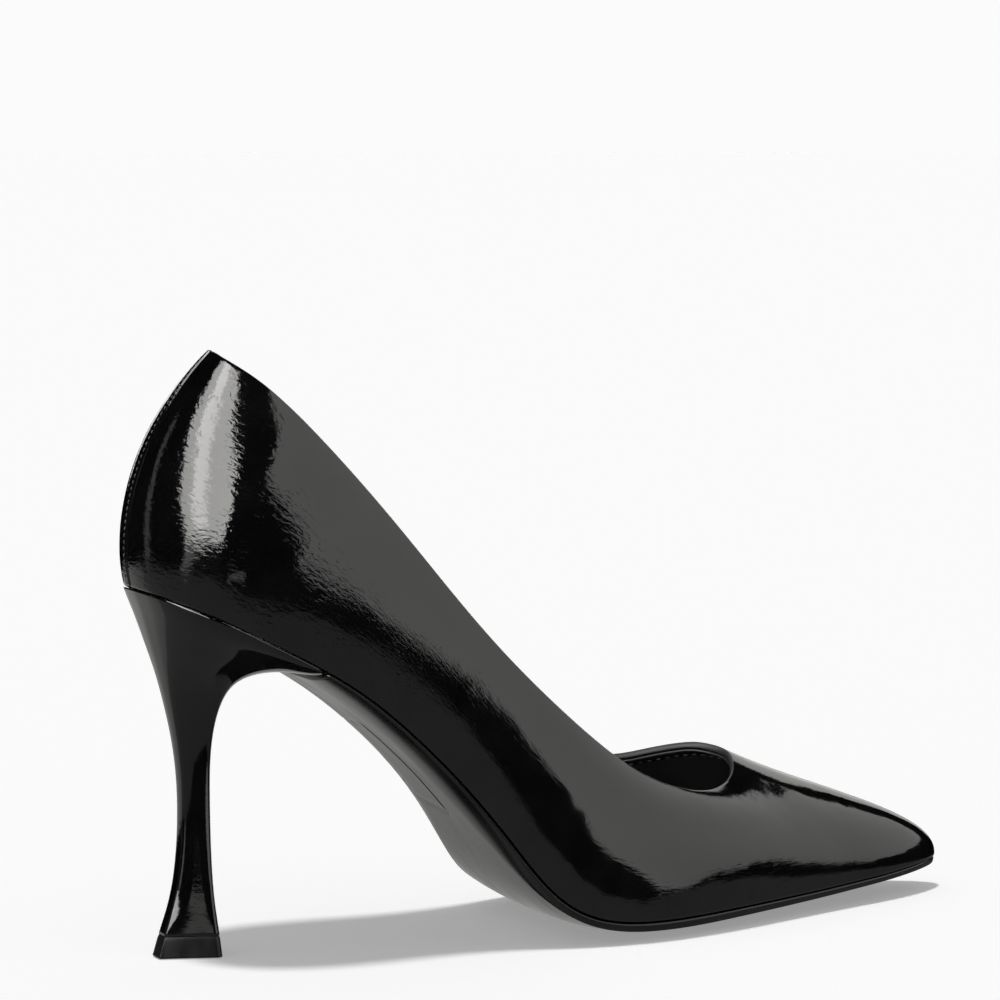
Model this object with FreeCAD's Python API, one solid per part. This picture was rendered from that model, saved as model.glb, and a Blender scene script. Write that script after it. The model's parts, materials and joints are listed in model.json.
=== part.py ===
import FreeCAD, Part
import math
import os

# High heel pump, right foot, EU size 37, about 95 mm heel.
# Working axes: +X to the toe, -Y to the outer (lateral) side, +Z up, floor at z = 0,
# x = 0 at the back edge of the top lift.  place_on_origin() moves the finished pieces so that
# the origin is the centre of the shoe's footprint on the floor.

# ---------------------------------------------------------------- driving dimensions, mm
BALL_SEAM_HEIGHT = 4.9        # height of the upper/sole seam at the ball
LIFT_HEIGHT = 5.6             # top lift, the wearing piece under the heel
LINING_START = 1.9            # depth of the lining's outer face below the outer skin
LINING_THICKNESS = 0.7
UPPER_THICKNESS = 1.2
STIFFENER_START = 1.25
STIFFENER_THICKNESS = 0.6
MARGIN_WIDTH = 11.0           # lasting margin folded under the insole board
END_HALF_WIDTH = 1.5          # bottom pieces end this narrow at the back and the toe
FACING_HEIGHT = 3.0           # patent band inside the topline
EDGE_GAP = 0.3                # gap between pieces that butt edge to edge
FIRST_LAYER_V = 0.045         # the inner layers start just above the insole board
TOE_PUFF_BACK_X = 188.0
COUNTER_FRONT_X = 66.0
VAMP_LINING_BACK_X = 104.0
HEEL_GRIP_FRONT_X = 26.0
BREAST_X = 37.2               # front lip of the heel, where the outsole starts
TOE_X = 227.2
COVER_THICKNESS = 0.8
RIBS = 112                    # ribs round the shoe
WALL_ROWS = 15                # rows of points up the wall

# Levels above the seam surface, measured square to it
MARGIN_LEVELS = (0.12, 1.25)
SHANK_LEVELS = (0.1, 1.25)
BOARD_LEVELS = (1.35, 2.75)
SHANK_BOARD_LEVELS = (2.85, 3.95)
HEEL_PAD_TOP = 5.8
FOREFOOT_PAD_TOP = 4.6
SOCK_THICKNESS = 0.8

TUBE_X = 9.9                  # steel tube in the heel stem
TUBE_RADIUS = 2.0
TUBE_TOP = 62.0
PIN_RADIUS = 1.25
PIN_TOP = 24.0
SCREW_X = 14.0
SCREW_RADIUS = 1.75
SCREW_HEAD_RADIUS = 3.6
SCREW_DEPTH = 17.0            # below the seat, square to it
NAIL_RADIUS = 0.8
NAIL_HEAD_RADIUS = 1.7
NAIL_DEPTH = 8.0
NAIL_SPOTS = ((11.5, 7.5), (11.5, -7.5), (20.5, 8.5), (20.5, -8.5))
RIVET_SPOTS = (27.0, 92.0)
RIVET_RADIUS = 1.75
RIVET_HEAD_RADIUS = 3.4
HEAD_LEVELS = (2.85, 3.85)    # fastener heads lie on the insole board, inside the shank board

# ---------------------------------------------------------------- the last, as ribs
# Each rib runs up the wall of the shoe from the seam to the topline as a Bezier curve:
# seam x, seam half width, topline x, topline half width, topline height,
# then the pull of the two inner handles: outwards and up at the seam, outwards and down at the top.
BACK_RIB = (-5.8, 0.0, 15.8, 0.0, 152.5, 3.0, 11.0, 15.0, 21.5)
OUTER_RIBS = (
    (-1.6, -14.5, 17.2, -6.8, 150.8, 3.0, 12.0, 14.5, 21.0),
    (9.0, -23.6, 24.0, -14.9, 145.0, 3.4, 14.0, 12.5, 19.0),
    (30.0, -26.2, 40.5, -23.0, 127.0, 4.5, 14.0, 8.0, 15.0),
    (52.0, -24.6, 59.0, -25.3, 105.4, 5.5, 13.0, 5.5, 13.0),
    (75.0, -26.3, 80.5, -27.6, 79.6, 5.0, 12.5, 5.5, 12.0),
    (96.0, -32.8, 101.0, -29.4, 59.0, 3.5, 12.0, 6.5, 12.0),
    (118.0, -36.4, 119.0, -29.0, 44.7, 2.5, 12.0, 7.0, 11.0),
    (143.0, -32.9, 135.0, -26.4, 37.4, 2.2, 11.0, 7.0, 8.5),
    (170.0, -25.0, 148.0, -20.8, 35.2, 2.2, 10.5, 6.0, 6.0),
    (195.0, -17.4, 157.6, -12.6, 36.6, 2.2, 10.5, 4.5, 7.0),
    (216.0, -9.8, 162.0, -5.6, 39.4, 2.0, 11.0, 3.5, 9.5),
)
TOE_RIB = (TOE_X, 0.0, 163.3, 0.6, 41.3, 2.0, 12.2, 3.5, 12.3)
INNER_RIBS = (
    (216.0, 9.8, 161.6, 6.0, 42.2, 2.0, 11.2, 3.0, 12.4),
    (195.0, 17.8, 157.6, 11.4, 42.3, 2.2, 10.5, 3.0, 12.0),
    (170.0, 25.4, 149.0, 18.6, 40.2, 2.2, 11.0, 5.0, 9.5),
    (145.0, 32.6, 136.0, 25.0, 38.6, 2.2, 11.5, 6.0, 9.5),
    (120.0, 34.2, 120.0, 28.0, 45.6, 2.4, 12.5, 6.5, 11.0),
    (97.0, 26.4, 101.0, 28.0, 60.4, 4.0, 13.0, 6.0, 12.0),
    (75.0, 19.8, 80.5, 25.8, 81.4, 7.0, 14.0, 5.5, 12.5),
    (52.0, 21.4, 59.0, 23.8, 107.4, 6.0, 14.0, 5.5, 13.5),
    (30.0, 24.2, 40.5, 22.0, 128.6, 5.0, 14.0, 8.0, 15.5),
    (9.0, 22.9, 24.0, 14.7, 145.6, 3.6, 14.0, 12.5, 19.5),
    (-1.6, 14.3, 17.2, 6.8, 151.0, 3.0, 12.0, 14.5, 21.0),
)
HANDLE_LEAN = 0.35            # how far the upper handle leans along the rib towards the seam

# Height of the seam along the shoe: seat, steep shank, ball, toe spring
SEAM_PROFILE = (
    (-10.0, 95.9), (7.0, 88.5), (30.0, 77.0), (48.0, 66.0), (64.0, 52.3), (77.0, 38.2),
    (85.0, 27.8), (94.0, 15.9), (102.0, 9.2), (112.0, 5.8), (124.0, BALL_SEAM_HEIGHT),
    (150.0, 5.2), (180.0, 5.8), (205.0, 6.9), (232.0, 8.4),
)
# The bottom bulges down between its edges: x, bulge
CROWN_PROFILE = (
    (-10.0, 0.0), (60.0, 0.0), (85.0, 0.2), (105.0, 1.7), (125.0, 2.4), (150.0, 2.0),
    (185.0, 0.9), (215.0, 0.1), (232.0, 0.0),
)
# Outsole: x, thickness at the edge
SOLE_PROFILE = (
    (30.0, 1.2), (50.0, 1.3), (80.0, 1.5), (100.0, 2.0), (120.0, 2.4), (170.0, 2.2), (232.0, 1.7),
)

# Heel sections from the floor up.  Each lies in a plane through a back point and a breast point:
# back x, z, breast x, z, half width at the back, largest, at the breast,
# where it is largest (0 back, 1 breast), roundness
HEEL_SECTIONS = (
    (0.0, 0.0, 15.2, 0.0, 2.5, 7.7, 7.7, 1.0, 1.0),
    (1.7, 5.6, 14.7, 5.6, 2.4, 7.1, 7.1, 1.0, 1.05),
    (3.9, 12.5, 14.1, 12.5, 2.1, 6.0, 6.0, 0.95, 1.2),
    (6.0, 24.4, 13.6, 24.4, 1.7, 4.9, 4.8, 0.85, 1.5),
    (6.6, 40.0, 13.5, 39.0, 1.5, 4.4, 4.2, 0.75, 1.8),
    (5.4, 54.0, 13.8, 54.0, 1.5, 5.2, 4.9, 0.7, 2.0),
    (3.2, 65.0, 15.4, 64.5, 1.6, 8.0, 7.5, 0.68, 2.0),
    (1.4, 72.5, 18.0, 69.2, 1.8, 11.6, 9.3, 0.65, 2.0),
    (-0.7, 80.0, 22.5, 72.0, 2.0, 16.6, 12.5, 0.62, 2.1),
    (-2.7, 87.0, 29.5, 72.9, 2.2, 21.6, 18.6, 0.6, 2.2),
    (-4.8, 93.0, 36.4, 73.2, 2.4, 25.4, 25.2, 0.6, 2.2),
    (-6.6, 99.0, 38.6, 80.0, 2.4, 26.4, 26.2, 0.6, 2.2),
)


# ---------------------------------------------------------------- small vector helpers
def add(a, b, scale=1.0):
    return tuple(p + scale * q for p, q in zip(a, b))


def minus(a, b):
    return tuple(p - q for p, q in zip(a, b))


def length(a):
    return math.sqrt(sum(p * p for p in a))


def unit(a):
    size = length(a)
    return tuple(p / size for p in a)


def cross(a, b):
    return (a[1] * b[2] - a[2] * b[1], a[2] * b[0] - a[0] * b[2], a[0] * b[1] - a[1] * b[0])


def vector(a):
    return FreeCAD.Vector(*a)


def smooth_step(x, start, end):
    part = min(1.0, max(0.0, (x - start) / (end - start)))
    return part * part * (3.0 - 2.0 * part)


def solve(matrix, right):
    """Gauss elimination of a small square system."""
    size = len(right)
    rows = [list(line) + [value] for line, value in zip(matrix, right)]
    for i in range(size):
        pivot = max(range(i, size), key=lambda k: abs(rows[k][i]))
        rows[i], rows[pivot] = rows[pivot], rows[i]
        for k in range(i + 1, size):
            factor = rows[k][i] / rows[i][i]
            rows[k] = [p - factor * q for p, q in zip(rows[k], rows[i])]
    answer = [0.0] * size
    for i in reversed(range(size)):
        known = sum(rows[i][k] * answer[k] for k in range(i + 1, size))
        answer[i] = (rows[i][size] - known) / rows[i][i]
    return answer


class SmoothCurve:
    """Cubic spline through values at knots, closed on itself or with free ends."""

    def __init__(self, knots, values, closed=False):
        self.knots = knots
        self.values = values
        self.closed = closed
        last = len(knots) - 1
        matrix = [[0.0] * (last + 1) for _ in range(last + 1)]
        right = [0.0] * (last + 1)
        for i in range(1, last):
            before = knots[i] - knots[i - 1]
            after = knots[i + 1] - knots[i]
            matrix[i][i - 1] = before
            matrix[i][i] = 2.0 * (before + after)
            matrix[i][i + 1] = after
            rise = (values[i + 1] - values[i]) / after - (values[i] - values[i - 1]) / before
            right[i] = 6.0 * rise
        if closed:
            before = knots[last] - knots[last - 1]
            after = knots[1] - knots[0]
            matrix[0][last - 1] = before
            matrix[0][0] = 2.0 * (before + after)
            matrix[0][1] = after
            rise = (values[1] - values[0]) / after - (values[last] - values[last - 1]) / before
            right[0] = 6.0 * rise
            matrix[last][0] = 1.0
            matrix[last][last] = -1.0
        else:
            matrix[0][0] = 1.0
            matrix[last][last] = 1.0
        self.bend = solve(matrix, right)

    def __call__(self, t):
        first = self.knots[0]
        span = self.knots[-1] - first
        if self.closed:
            t = first + (t - first) % span
        i = 0
        while i < len(self.knots) - 2 and t > self.knots[i + 1]:
            i += 1
        width = self.knots[i + 1] - self.knots[i]
        a = (self.knots[i + 1] - t) / width
        b = 1.0 - a
        curve = (a ** 3 - a) * self.bend[i] + (b ** 3 - b) * self.bend[i + 1]
        return a * self.values[i] + b * self.values[i + 1] + curve * width * width / 6.0


def curve_through(rows):
    return SmoothCurve([row[0] for row in rows], [row[1] for row in rows])


seam_height = curve_through(SEAM_PROFILE)
crown_depth = curve_through(CROWN_PROFILE)
sole_thickness = curve_through(SOLE_PROFILE)


# ---------------------------------------------------------------- skin of the shoe
def rib_curves():
    """One closed spline for each column of the rib table, over the way round the seam."""
    rows = [BACK_RIB, *OUTER_RIBS, TOE_RIB, *INNER_RIBS, BACK_RIB]
    knots = [0.0]
    for here, there in zip(rows, rows[1:]):
        knots.append(knots[-1] + math.hypot(there[0] - here[0], there[1] - here[1]))
    knots = [knot / knots[-1] for knot in knots]
    return [SmoothCurve(knots, list(column), closed=True) for column in zip(*rows)]


RIB_CURVES = rib_curves()


def seam_point(u):
    x = RIB_CURVES[0](u)
    return (x, RIB_CURVES[1](u), seam_height(x))


def outward(u):
    """Level direction square to the seam, away from the foot."""
    step = 1e-4
    ahead = seam_point(u + step)
    behind = seam_point(u - step)
    return unit((ahead[1] - behind[1], behind[0] - ahead[0], 0.0))


def rib_handles(u):
    x, y, top_x, top_y, top_z, foot_out, foot_up, top_out, top_down = [c(u) for c in RIB_CURVES]
    foot = (x, y, seam_height(x))
    top = (top_x, top_y, top_z)
    out = outward(u)
    low = add(add(foot, out, foot_out), (0.0, 0.0, foot_up))
    lean = (HANDLE_LEAN * (x - top_x), HANDLE_LEAN * (y - top_y), -top_down)
    high = add(add(top, out, top_out), lean)
    return foot, low, high, top


def skin_point(u, v):
    foot, low, high, top = rib_handles(u)
    w = 1.0 - v
    weights = (w ** 3, 3.0 * w * w * v, 3.0 * w * v * v, v ** 3)
    return tuple(
        weights[0] * foot[k] + weights[1] * low[k] + weights[2] * high[k] + weights[3] * top[k]
        for k in range(3)
    )


def skin_normal(u, v):
    step = 1e-3
    along = minus(skin_point(u + step, v), skin_point(u - step, v))
    low = max(0.0, v - step)
    high = min(1.0, v + step)
    up = minus(skin_point(u, high), skin_point(u, low))
    return unit(cross(along, up))


def layer_point(u, v, depth):
    return add(skin_point(u, v), skin_normal(u, v), -depth)


def below_topline(u, distance):
    """v at a given distance below the topline."""
    _, _, high, top = rib_handles(u)
    return 1.0 - distance / (3.0 * length(minus(top, high)))


def way_round(fraction):
    """Even fractions spread so that the back and the toe get more ribs."""
    return fraction - 0.62 * math.sin(4.0 * math.pi * fraction) / (4.0 * math.pi)


def v_at_x(u, x):
    """v where the rib passes a given x, for the ribs of the toe."""
    low, high = 0.0, 1.0
    for _ in range(30):
        middle = 0.5 * (low + high)
        if skin_point(u, middle)[0] > x:
            low = middle
        else:
            high = middle
    return low


def u_at_seam_x(x, side):
    """Way round the seam at a given x; side -1 is outer, +1 inner."""
    low, high = 0.0, 0.5
    for _ in range(40):
        middle = 0.5 * (low + high)
        if seam_point(middle if side < 0 else 1.0 - middle)[0] < x:
            low = middle
        else:
            high = middle
    return low if side < 0 else 1.0 - low


# ---------------------------------------------------------------- solids from grids of points
def knots_for(count, degree, periodic):
    if periodic:
        return [float(i) for i in range(count + 1)], [1] * (count + 1)
    inner = count - degree - 1
    return [float(i) for i in range(inner + 2)], [degree + 1] + [1] * inner + [degree + 1]


def grid_face(grid, closed):
    """Smooth face over rows of poles; closed joins the last row to the first."""
    along = min(3, len(grid) - 1)
    across = min(3, len(grid[0]) - 1)
    u_knots, u_mults = knots_for(len(grid), along, closed)
    v_knots, v_mults = knots_for(len(grid[0]), across, False)
    surface = Part.BSplineSurface()
    poles = [[vector(point) for point in row] for row in grid]
    surface.buildFromPolesMultsKnots(
        poles, u_mults, v_mults, u_knots, v_knots, closed, False, along, across)
    return surface.toShape()


def sewn_solid(faces):
    shell = Part.makeShell(faces)
    shell.sewShape()
    if shell.ShapeType != "Shell":
        shell = shell.Shells[0]
    solid = Part.makeSolid(shell)
    if solid.Volume < 0.0:
        solid.reverse()
    return solid


def ring_solid(strips):
    """Closed ring whose section is made of strips, each sharing its edges with the next."""
    return sewn_solid([grid_face(strip, True) for strip in strips])


def patch_solid(outer, inner):
    """Solid between two open grids of the same size."""
    front = [[a, b] for a, b in zip(outer[0], inner[0])]
    back = [[a, b] for a, b in zip(outer[-1], inner[-1])]
    low = [[a[0], b[0]] for a, b in zip(outer, inner)]
    high = [[a[-1], b[-1]] for a, b in zip(outer, inner)]
    return sewn_solid([grid_face(grid, False) for grid in (outer, inner, front, back, low, high)])


def rib_places():
    return [way_round(i / RIBS) for i in range(RIBS)]


def wall_grid(places, v_low, v_high, depth):
    """Points of one layer of the wall, from v_low(u) up to v_high(u)."""
    grid = []
    for u in places:
        low = v_low(u)
        high = v_high(u)
        rows = range(WALL_ROWS)
        grid.append([layer_point(u, low + (high - low) * k / (WALL_ROWS - 1), depth) for k in rows])
    return grid


def wall_ring(v_low, v_high, start, thickness):
    """Closed layer of the wall all the way round the shoe."""
    outer = wall_grid(rib_places(), v_low, v_high, start)
    inner = wall_grid(rib_places(), v_low, v_high, start + thickness)
    top = [[a[-1], b[-1]] for a, b in zip(outer, inner)]
    low = [[a[0], b[0]] for a, b in zip(outer, inner)]
    return ring_solid([outer, top, inner, low])


def wall_patch(u_start, u_end, count, v_low, v_high, start, thickness):
    """Layer of the wall between two places round the shoe."""
    places = [u_start + (u_end - u_start) * i / (count - 1) for i in range(count)]
    outer = wall_grid(places, v_low, v_high, start)
    inner = wall_grid(places, v_low, v_high, start + thickness)
    return patch_solid(outer, inner)


# ---------------------------------------------------------------- bottom surface and plates
def seam_frame(x):
    """Point of the seam profile at x, and the direction square to it, upwards."""
    step = 0.01
    slope = (seam_height(x + step) - seam_height(x - step)) / (2.0 * step)
    size = math.hypot(1.0, slope)
    return (x, 0.0, seam_height(x)), (-slope / size, 0.0, 1.0 / size)


def bottom_point(x, y, level):
    base, normal = seam_frame(x)
    return add(add(base, normal, level), (0.0, y, 0.0))


def side_edge(inset, side):
    """Plan points of one side of the seam, moved in by inset, from the back to the toe."""
    steps = 300
    points = []
    for i in range(steps + 1):
        u = 0.5 * i / steps
        u = u if side < 0 else 1.0 - u
        x, y, _ = add(seam_point(u), outward(u), -inset)
        past_tip = x > 100.0 and (side * y < END_HALF_WIDTH or x < points[-1][0])
        if past_tip:
            break
        if side * y > END_HALF_WIDTH:
            points.append((x, y))
    return points


def edge_at(points, x):
    """Where a side passes x, between its points."""
    if x <= points[0][0]:
        return points[0][1]
    for (x_a, y_a), (x_b, y_b) in zip(points, points[1:]):
        if x_a <= x <= x_b:
            return y_a + (y_b - y_a) * (x - x_a) / max(x_b - x_a, 1e-9)
    return points[-1][1]


def strip(x_start, x_end, edges, low_level, high_level):
    """Piece of the bottom between two levels; edges(x) gives its two sides.

    The levels are functions of x and of the share of the way out from the middle, 0 to 1.
    """
    lanes = 13
    stations = max(8, int((x_end - x_start) / 3.5))
    grids = ([], [])
    for i in range(stations + 1):
        x = x_start + (x_end - x_start) * 0.5 * (1.0 - math.cos(math.pi * i / stations))
        outer, inner = edges(x)
        for grid, height in zip(grids, (low_level, high_level)):
            row = []
            for k in range(lanes):
                y = outer + (inner - outer) * k / (lanes - 1)
                share = abs(2.0 * k / (lanes - 1) - 1.0)
                row.append(bottom_point(x, y, height(x, share)))
            grid.append(row)
    return patch_solid(*grids)


def plate(x_start, x_end, inset, low_level, high_level):
    """Piece of the bottom whose outline is the seam, moved in by inset."""
    outer = side_edge(inset, -1)
    inner = side_edge(inset, 1)
    x_start = max(x_start, outer[0][0], inner[0][0])
    x_end = min(x_end, outer[-1][0], inner[-1][0])
    return strip(x_start, x_end, lambda x: (edge_at(outer, x), edge_at(inner, x)),
                 low_level, high_level)


def band(x_start, x_end, half, low_level, high_level):
    """Straight-sided piece of the bottom."""
    return strip(x_start, x_end, lambda x: (-half, half), low_level, high_level)


def crown_at(x, share):
    return crown_depth(x) * (1.0 - share ** 2.5)


def level(value):
    return lambda x, share: value


def post(x, y, radius, low_z, high_z):
    return Part.makeCylinder(radius, high_z - low_z, FreeCAD.Vector(x, y, low_z))


def bottom_post(x, y, radius, low_level, high_level):
    """Cylinder square to the bottom surface."""
    low = vector(bottom_point(x, y, low_level))
    high = vector(bottom_point(x, y, high_level))
    return Part.makeCylinder(radius, (high - low).Length, low, high - low)


# ---------------------------------------------------------------- upper and its layers
def top_edge(u):
    return 1.0


def skin_foot(u):
    return 0.0


def margin_target(x):
    """Point of the middle line that the lasting margin is pulled towards."""
    return (min(max(x, 16.0), 203.0), 0.0)


def margin_points(u, level_up, rows=4):
    """Row across the lasting margin, from the seam inwards."""
    x, y, _ = seam_point(u)
    goal = margin_target(x)
    reach = math.hypot(goal[0] - x, goal[1] - y)
    share = min(MARGIN_WIDTH, 0.6 * reach) / reach
    row = []
    for k in range(rows):
        part = share * k / (rows - 1)
        row.append(bottom_point(x + part * (goal[0] - x), y + part * (goal[1] - y), level_up))
    return row


def upper():
    """Patent upper: wall, and the margin folded in under the insole board."""
    places = rib_places()
    outer = wall_grid(places, skin_foot, top_edge, 0.0)
    inner = wall_grid(places, lambda u: 0.035, top_edge, UPPER_THICKNESS)
    under = []
    over = []
    for u, wall in zip(places, outer):
        under.append([wall[0]] + margin_points(u, MARGIN_LEVELS[0])[1:])
    for u, wall in zip(places, inner):
        over.append([wall[0]] + margin_points(u, MARGIN_LEVELS[1])[1:])
    top = [[a[-1], b[-1]] for a, b in zip(outer, inner)]
    end = [[a[-1], b[-1]] for a, b in zip(under, over)]
    return ring_solid([outer, top, inner, over, end, under])


def puff_edge(u):
    return max(0.09, v_at_x(u, TOE_PUFF_BACK_X))


def toe_puff():
    """Thermoplastic stiffener that holds the toe's shape."""
    start = u_at_seam_x(TOE_PUFF_BACK_X + 2.5, -1)
    end = u_at_seam_x(TOE_PUFF_BACK_X + 2.5, 1)
    return wall_patch(start, end, 41, lambda u: FIRST_LAYER_V, puff_edge,
                      STIFFENER_START, STIFFENER_THICKNESS)


def counter_edge(u):
    """Top edge of the heel counter: high at the back, falling away forwards."""
    x = max(0.0, seam_point(u)[0])
    return max(0.09, 0.8 * (1.0 - (x / COUNTER_FRONT_X) ** 2.5))


def heel_counter():
    start = u_at_seam_x(COUNTER_FRONT_X - 4.0, 1) - 1.0
    end = u_at_seam_x(COUNTER_FRONT_X - 4.0, -1)
    return wall_patch(start, end, 45, lambda u: FIRST_LAYER_V, counter_edge,
                      STIFFENER_START, STIFFENER_THICKNESS)


def tape_edge(u):
    return below_topline(u, 5.0)


def interlining_foot(u):
    x = seam_point(u)[0]
    gap = 0.02
    if x > TOE_PUFF_BACK_X:
        return max(FIRST_LAYER_V, v_at_x(u, TOE_PUFF_BACK_X) + gap)
    if x < COUNTER_FRONT_X:
        share = max(0.0, x) / COUNTER_FRONT_X
        return max(FIRST_LAYER_V, 0.8 * (1.0 - share ** 2.5) + gap)
    return FIRST_LAYER_V


def upper_interlining():
    """Cloth backing between the patent and the lining, clear of the stiffeners."""
    return wall_ring(interlining_foot, lambda u: tape_edge(u) - 0.01,
                     STIFFENER_START, STIFFENER_THICKNESS)


def topline_tape():
    return wall_ring(tape_edge, top_edge, STIFFENER_START, STIFFENER_THICKNESS)


def topline_facing():
    """Narrow patent band round the inside of the opening."""
    return wall_ring(lambda u: below_topline(u, FACING_HEIGHT), top_edge,
                     LINING_START, LINING_THICKNESS)


def lining_top(u):
    return below_topline(u, FACING_HEIGHT + EDGE_GAP)


def lining_patch(u_start, u_end, count):
    return wall_patch(u_start, u_end, count, lambda u: FIRST_LAYER_V, lining_top,
                      LINING_START, LINING_THICKNESS)


def vamp_lining():
    return lining_patch(u_at_seam_x(VAMP_LINING_BACK_X, -1), u_at_seam_x(VAMP_LINING_BACK_X, 1), 71)


def quarter_lining(side):
    front = u_at_seam_x(VAMP_LINING_BACK_X - EDGE_GAP, side)
    rear = u_at_seam_x(HEEL_GRIP_FRONT_X, side)
    return lining_patch(min(front, rear), max(front, rear), 25)


def heel_grip():
    """Suede piece inside the back, against the wearer's heel."""
    front = HEEL_GRIP_FRONT_X - EDGE_GAP
    return lining_patch(u_at_seam_x(front, 1) - 1.0, u_at_seam_x(front, -1), 31)


def stitch(start, end, normal, thickness):
    """One thread stitch lying from start to end."""
    middle = add(start, minus(end, start), 0.5)
    along = vector(unit(minus(end, start)))
    up = vector(normal)
    side = up.cross(along).normalize()
    up = along.cross(side).normalize()
    run = length(minus(end, start))
    block = Part.makeBox(run, thickness, thickness,
                         FreeCAD.Vector(-run / 2.0, -thickness / 2.0, -thickness / 2.0))
    turn = FreeCAD.Rotation(along, side, up, "ZXY")
    block.Placement = FreeCAD.Placement(vector(middle), turn)
    return block


def topline_stitching():
    """Row of stitches round the inside, near the lower edge of the facing."""
    pitch, run, thread = 2.5, 1.7, 0.35
    depth = LINING_START + LINING_THICKNESS + thread * 0.5 + 0.02

    def place(u):
        return layer_point(u, below_topline(u, FACING_HEIGHT - 0.7), depth)

    stitches = []
    u = 0.0
    while u < 1.0:
        step = 1e-3
        speed = length(minus(place(u + step), place(u))) / step
        here = place(u)
        there = place(u + run / speed)
        stitches.append(stitch(here, there, skin_normal(u, 0.99), thread))
        u += pitch / speed
    return Part.makeCompound(stitches)


def back_seam_stitching():
    """Row of stitches down the back seam, on the inner side of its edge."""
    pitch, run, thread = 1.65, 1.1, 0.35
    side_step = 1.4
    back_half = 0.985

    def place(v):
        near = skin_point(0.0, v)
        beside = skin_point(back_half, v)
        share = side_step / max(side_step, abs(beside[1] - near[1]))
        u = 1.0 - (1.0 - back_half) * share
        return layer_point(u, v, -thread * 0.5 - 0.02), skin_normal(u, v)

    stitches = []
    v = 0.02
    while v < 0.96:
        here, normal = place(v)
        step = 1e-3
        speed = length(minus(place(v + step)[0], here)) / step
        stitches.append(stitch(here, place(v + run / speed)[0], normal, thread))
        v += pitch / speed
    return Part.makeCompound(stitches)


# ---------------------------------------------------------------- bottom pieces
def fastener_holes(spots, radius, low_level):
    """Holes square to the bottom; spots are (x, y)."""
    return Part.makeCompound([bottom_post(x, y, radius, low_level, 8.0) for x, y in spots])


def board_holes():
    """Holes for the screw, the nails and the rivets."""
    holes = [
        fastener_holes([(SCREW_X, 0.0)], SCREW_RADIUS + 0.1, -1.0),
        fastener_holes(NAIL_SPOTS, NAIL_RADIUS + 0.05, -1.0),
        fastener_holes([(x, 0.0) for x in RIVET_SPOTS], RIVET_RADIUS + 0.05, -1.0),
    ]
    return Part.makeCompound(holes)


def head_holes():
    """Wider holes that clear the fastener heads."""
    low = HEAD_LEVELS[0] - 1.0
    holes = [
        fastener_holes([(SCREW_X, 0.0)], SCREW_HEAD_RADIUS + 0.3, low),
        fastener_holes(NAIL_SPOTS, NAIL_HEAD_RADIUS + 0.2, low),
        fastener_holes([(x, 0.0) for x in RIVET_SPOTS], RIVET_HEAD_RADIUS + 0.2, low),
    ]
    return Part.makeCompound(holes)


def fastener(x, y, radius, head_radius, low_level):
    """Stem and flat head, square to the bottom."""
    stem = bottom_post(x, y, radius, low_level, HEAD_LEVELS[0])
    head = bottom_post(x, y, head_radius, HEAD_LEVELS[0], HEAD_LEVELS[1])
    return stem.fuse(head).removeSplitter()


def insole_board():
    board = plate(-12.0, TOE_X, 3.8, level(BOARD_LEVELS[0]), level(BOARD_LEVELS[1]))
    return board.cut(board_holes())


def shank_board():
    """Hard fibre board under the heel and waist, with room for the fastener heads."""
    board = plate(-12.0, 100.0, 4.6, level(SHANK_BOARD_LEVELS[0]), level(SHANK_BOARD_LEVELS[1]))
    return board.cut(head_holes())


def steel_shank():
    """Spring steel strip that carries the arch between heel and ball."""
    strip_half_width = 6.0
    steel = band(9.0, 103.0, strip_half_width, level(SHANK_LEVELS[0]), level(SHANK_LEVELS[1]))
    return steel.cut(board_holes())


def shank_rivets():
    rivets = [fastener(x, 0.0, RIVET_RADIUS, RIVET_HEAD_RADIUS, SHANK_LEVELS[0])
              for x in RIVET_SPOTS]
    return Part.makeCompound(rivets)


def bottom_filler():
    """Cork filler between the lasting margins of the forepart."""
    low = lambda x, share: 0.1 - crown_at(x, share * share)
    return plate(106.0, 206.0, MARGIN_WIDTH + 1.2, low, level(SHANK_LEVELS[1]))


def forefoot_pad():
    return plate(108.0, 171.0, 6.5, level(BOARD_LEVELS[1] + 0.1), level(FOREFOOT_PAD_TOP))


def heel_pad():
    return plate(-12.0, 47.0, 6.0, level(SHANK_BOARD_LEVELS[1] + 0.1), level(HEEL_PAD_TOP))


def sock_level(x):
    """Height of the sock lining's underside: over the pads and the shank board."""
    heel = HEEL_PAD_TOP + 0.1
    waist = SHANK_BOARD_LEVELS[1] + 0.1
    ball = FOREFOOT_PAD_TOP + 0.1
    toe = BOARD_LEVELS[1] + 0.1
    height = heel + (waist - heel) * smooth_step(x, 49.5, 57.0)
    height += (ball - waist) * smooth_step(x, 100.0, 107.0)
    return height + (toe - ball) * smooth_step(x, 172.0, 180.0)


def sock_lining():
    return plate(-12.0, TOE_X, 4.6, lambda x, share: sock_level(x),
                 lambda x, share: sock_level(x) + SOCK_THICKNESS)


def outsole():
    low = lambda x, share: -sole_thickness(x) - crown_at(x, share)
    high = lambda x, share: -crown_at(x, share)
    return plate(BREAST_X, TOE_X, 0.4, low, high)


# ---------------------------------------------------------------- heel
def section_half_width(section, part, inset):
    back, widest, breast, peak, roundness = section[4:]
    widest -= inset
    breast -= inset
    back = max(0.8, back - 0.6 * inset)
    if part < peak:
        arc = (1.0 - (1.0 - part / peak) ** roundness) ** (1.0 / roundness)
        return back + (widest - back) * arc
    if peak >= 1.0:
        return widest
    share = (part - peak) / (1.0 - peak)
    return widest + (breast - widest) * share * share


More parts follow.
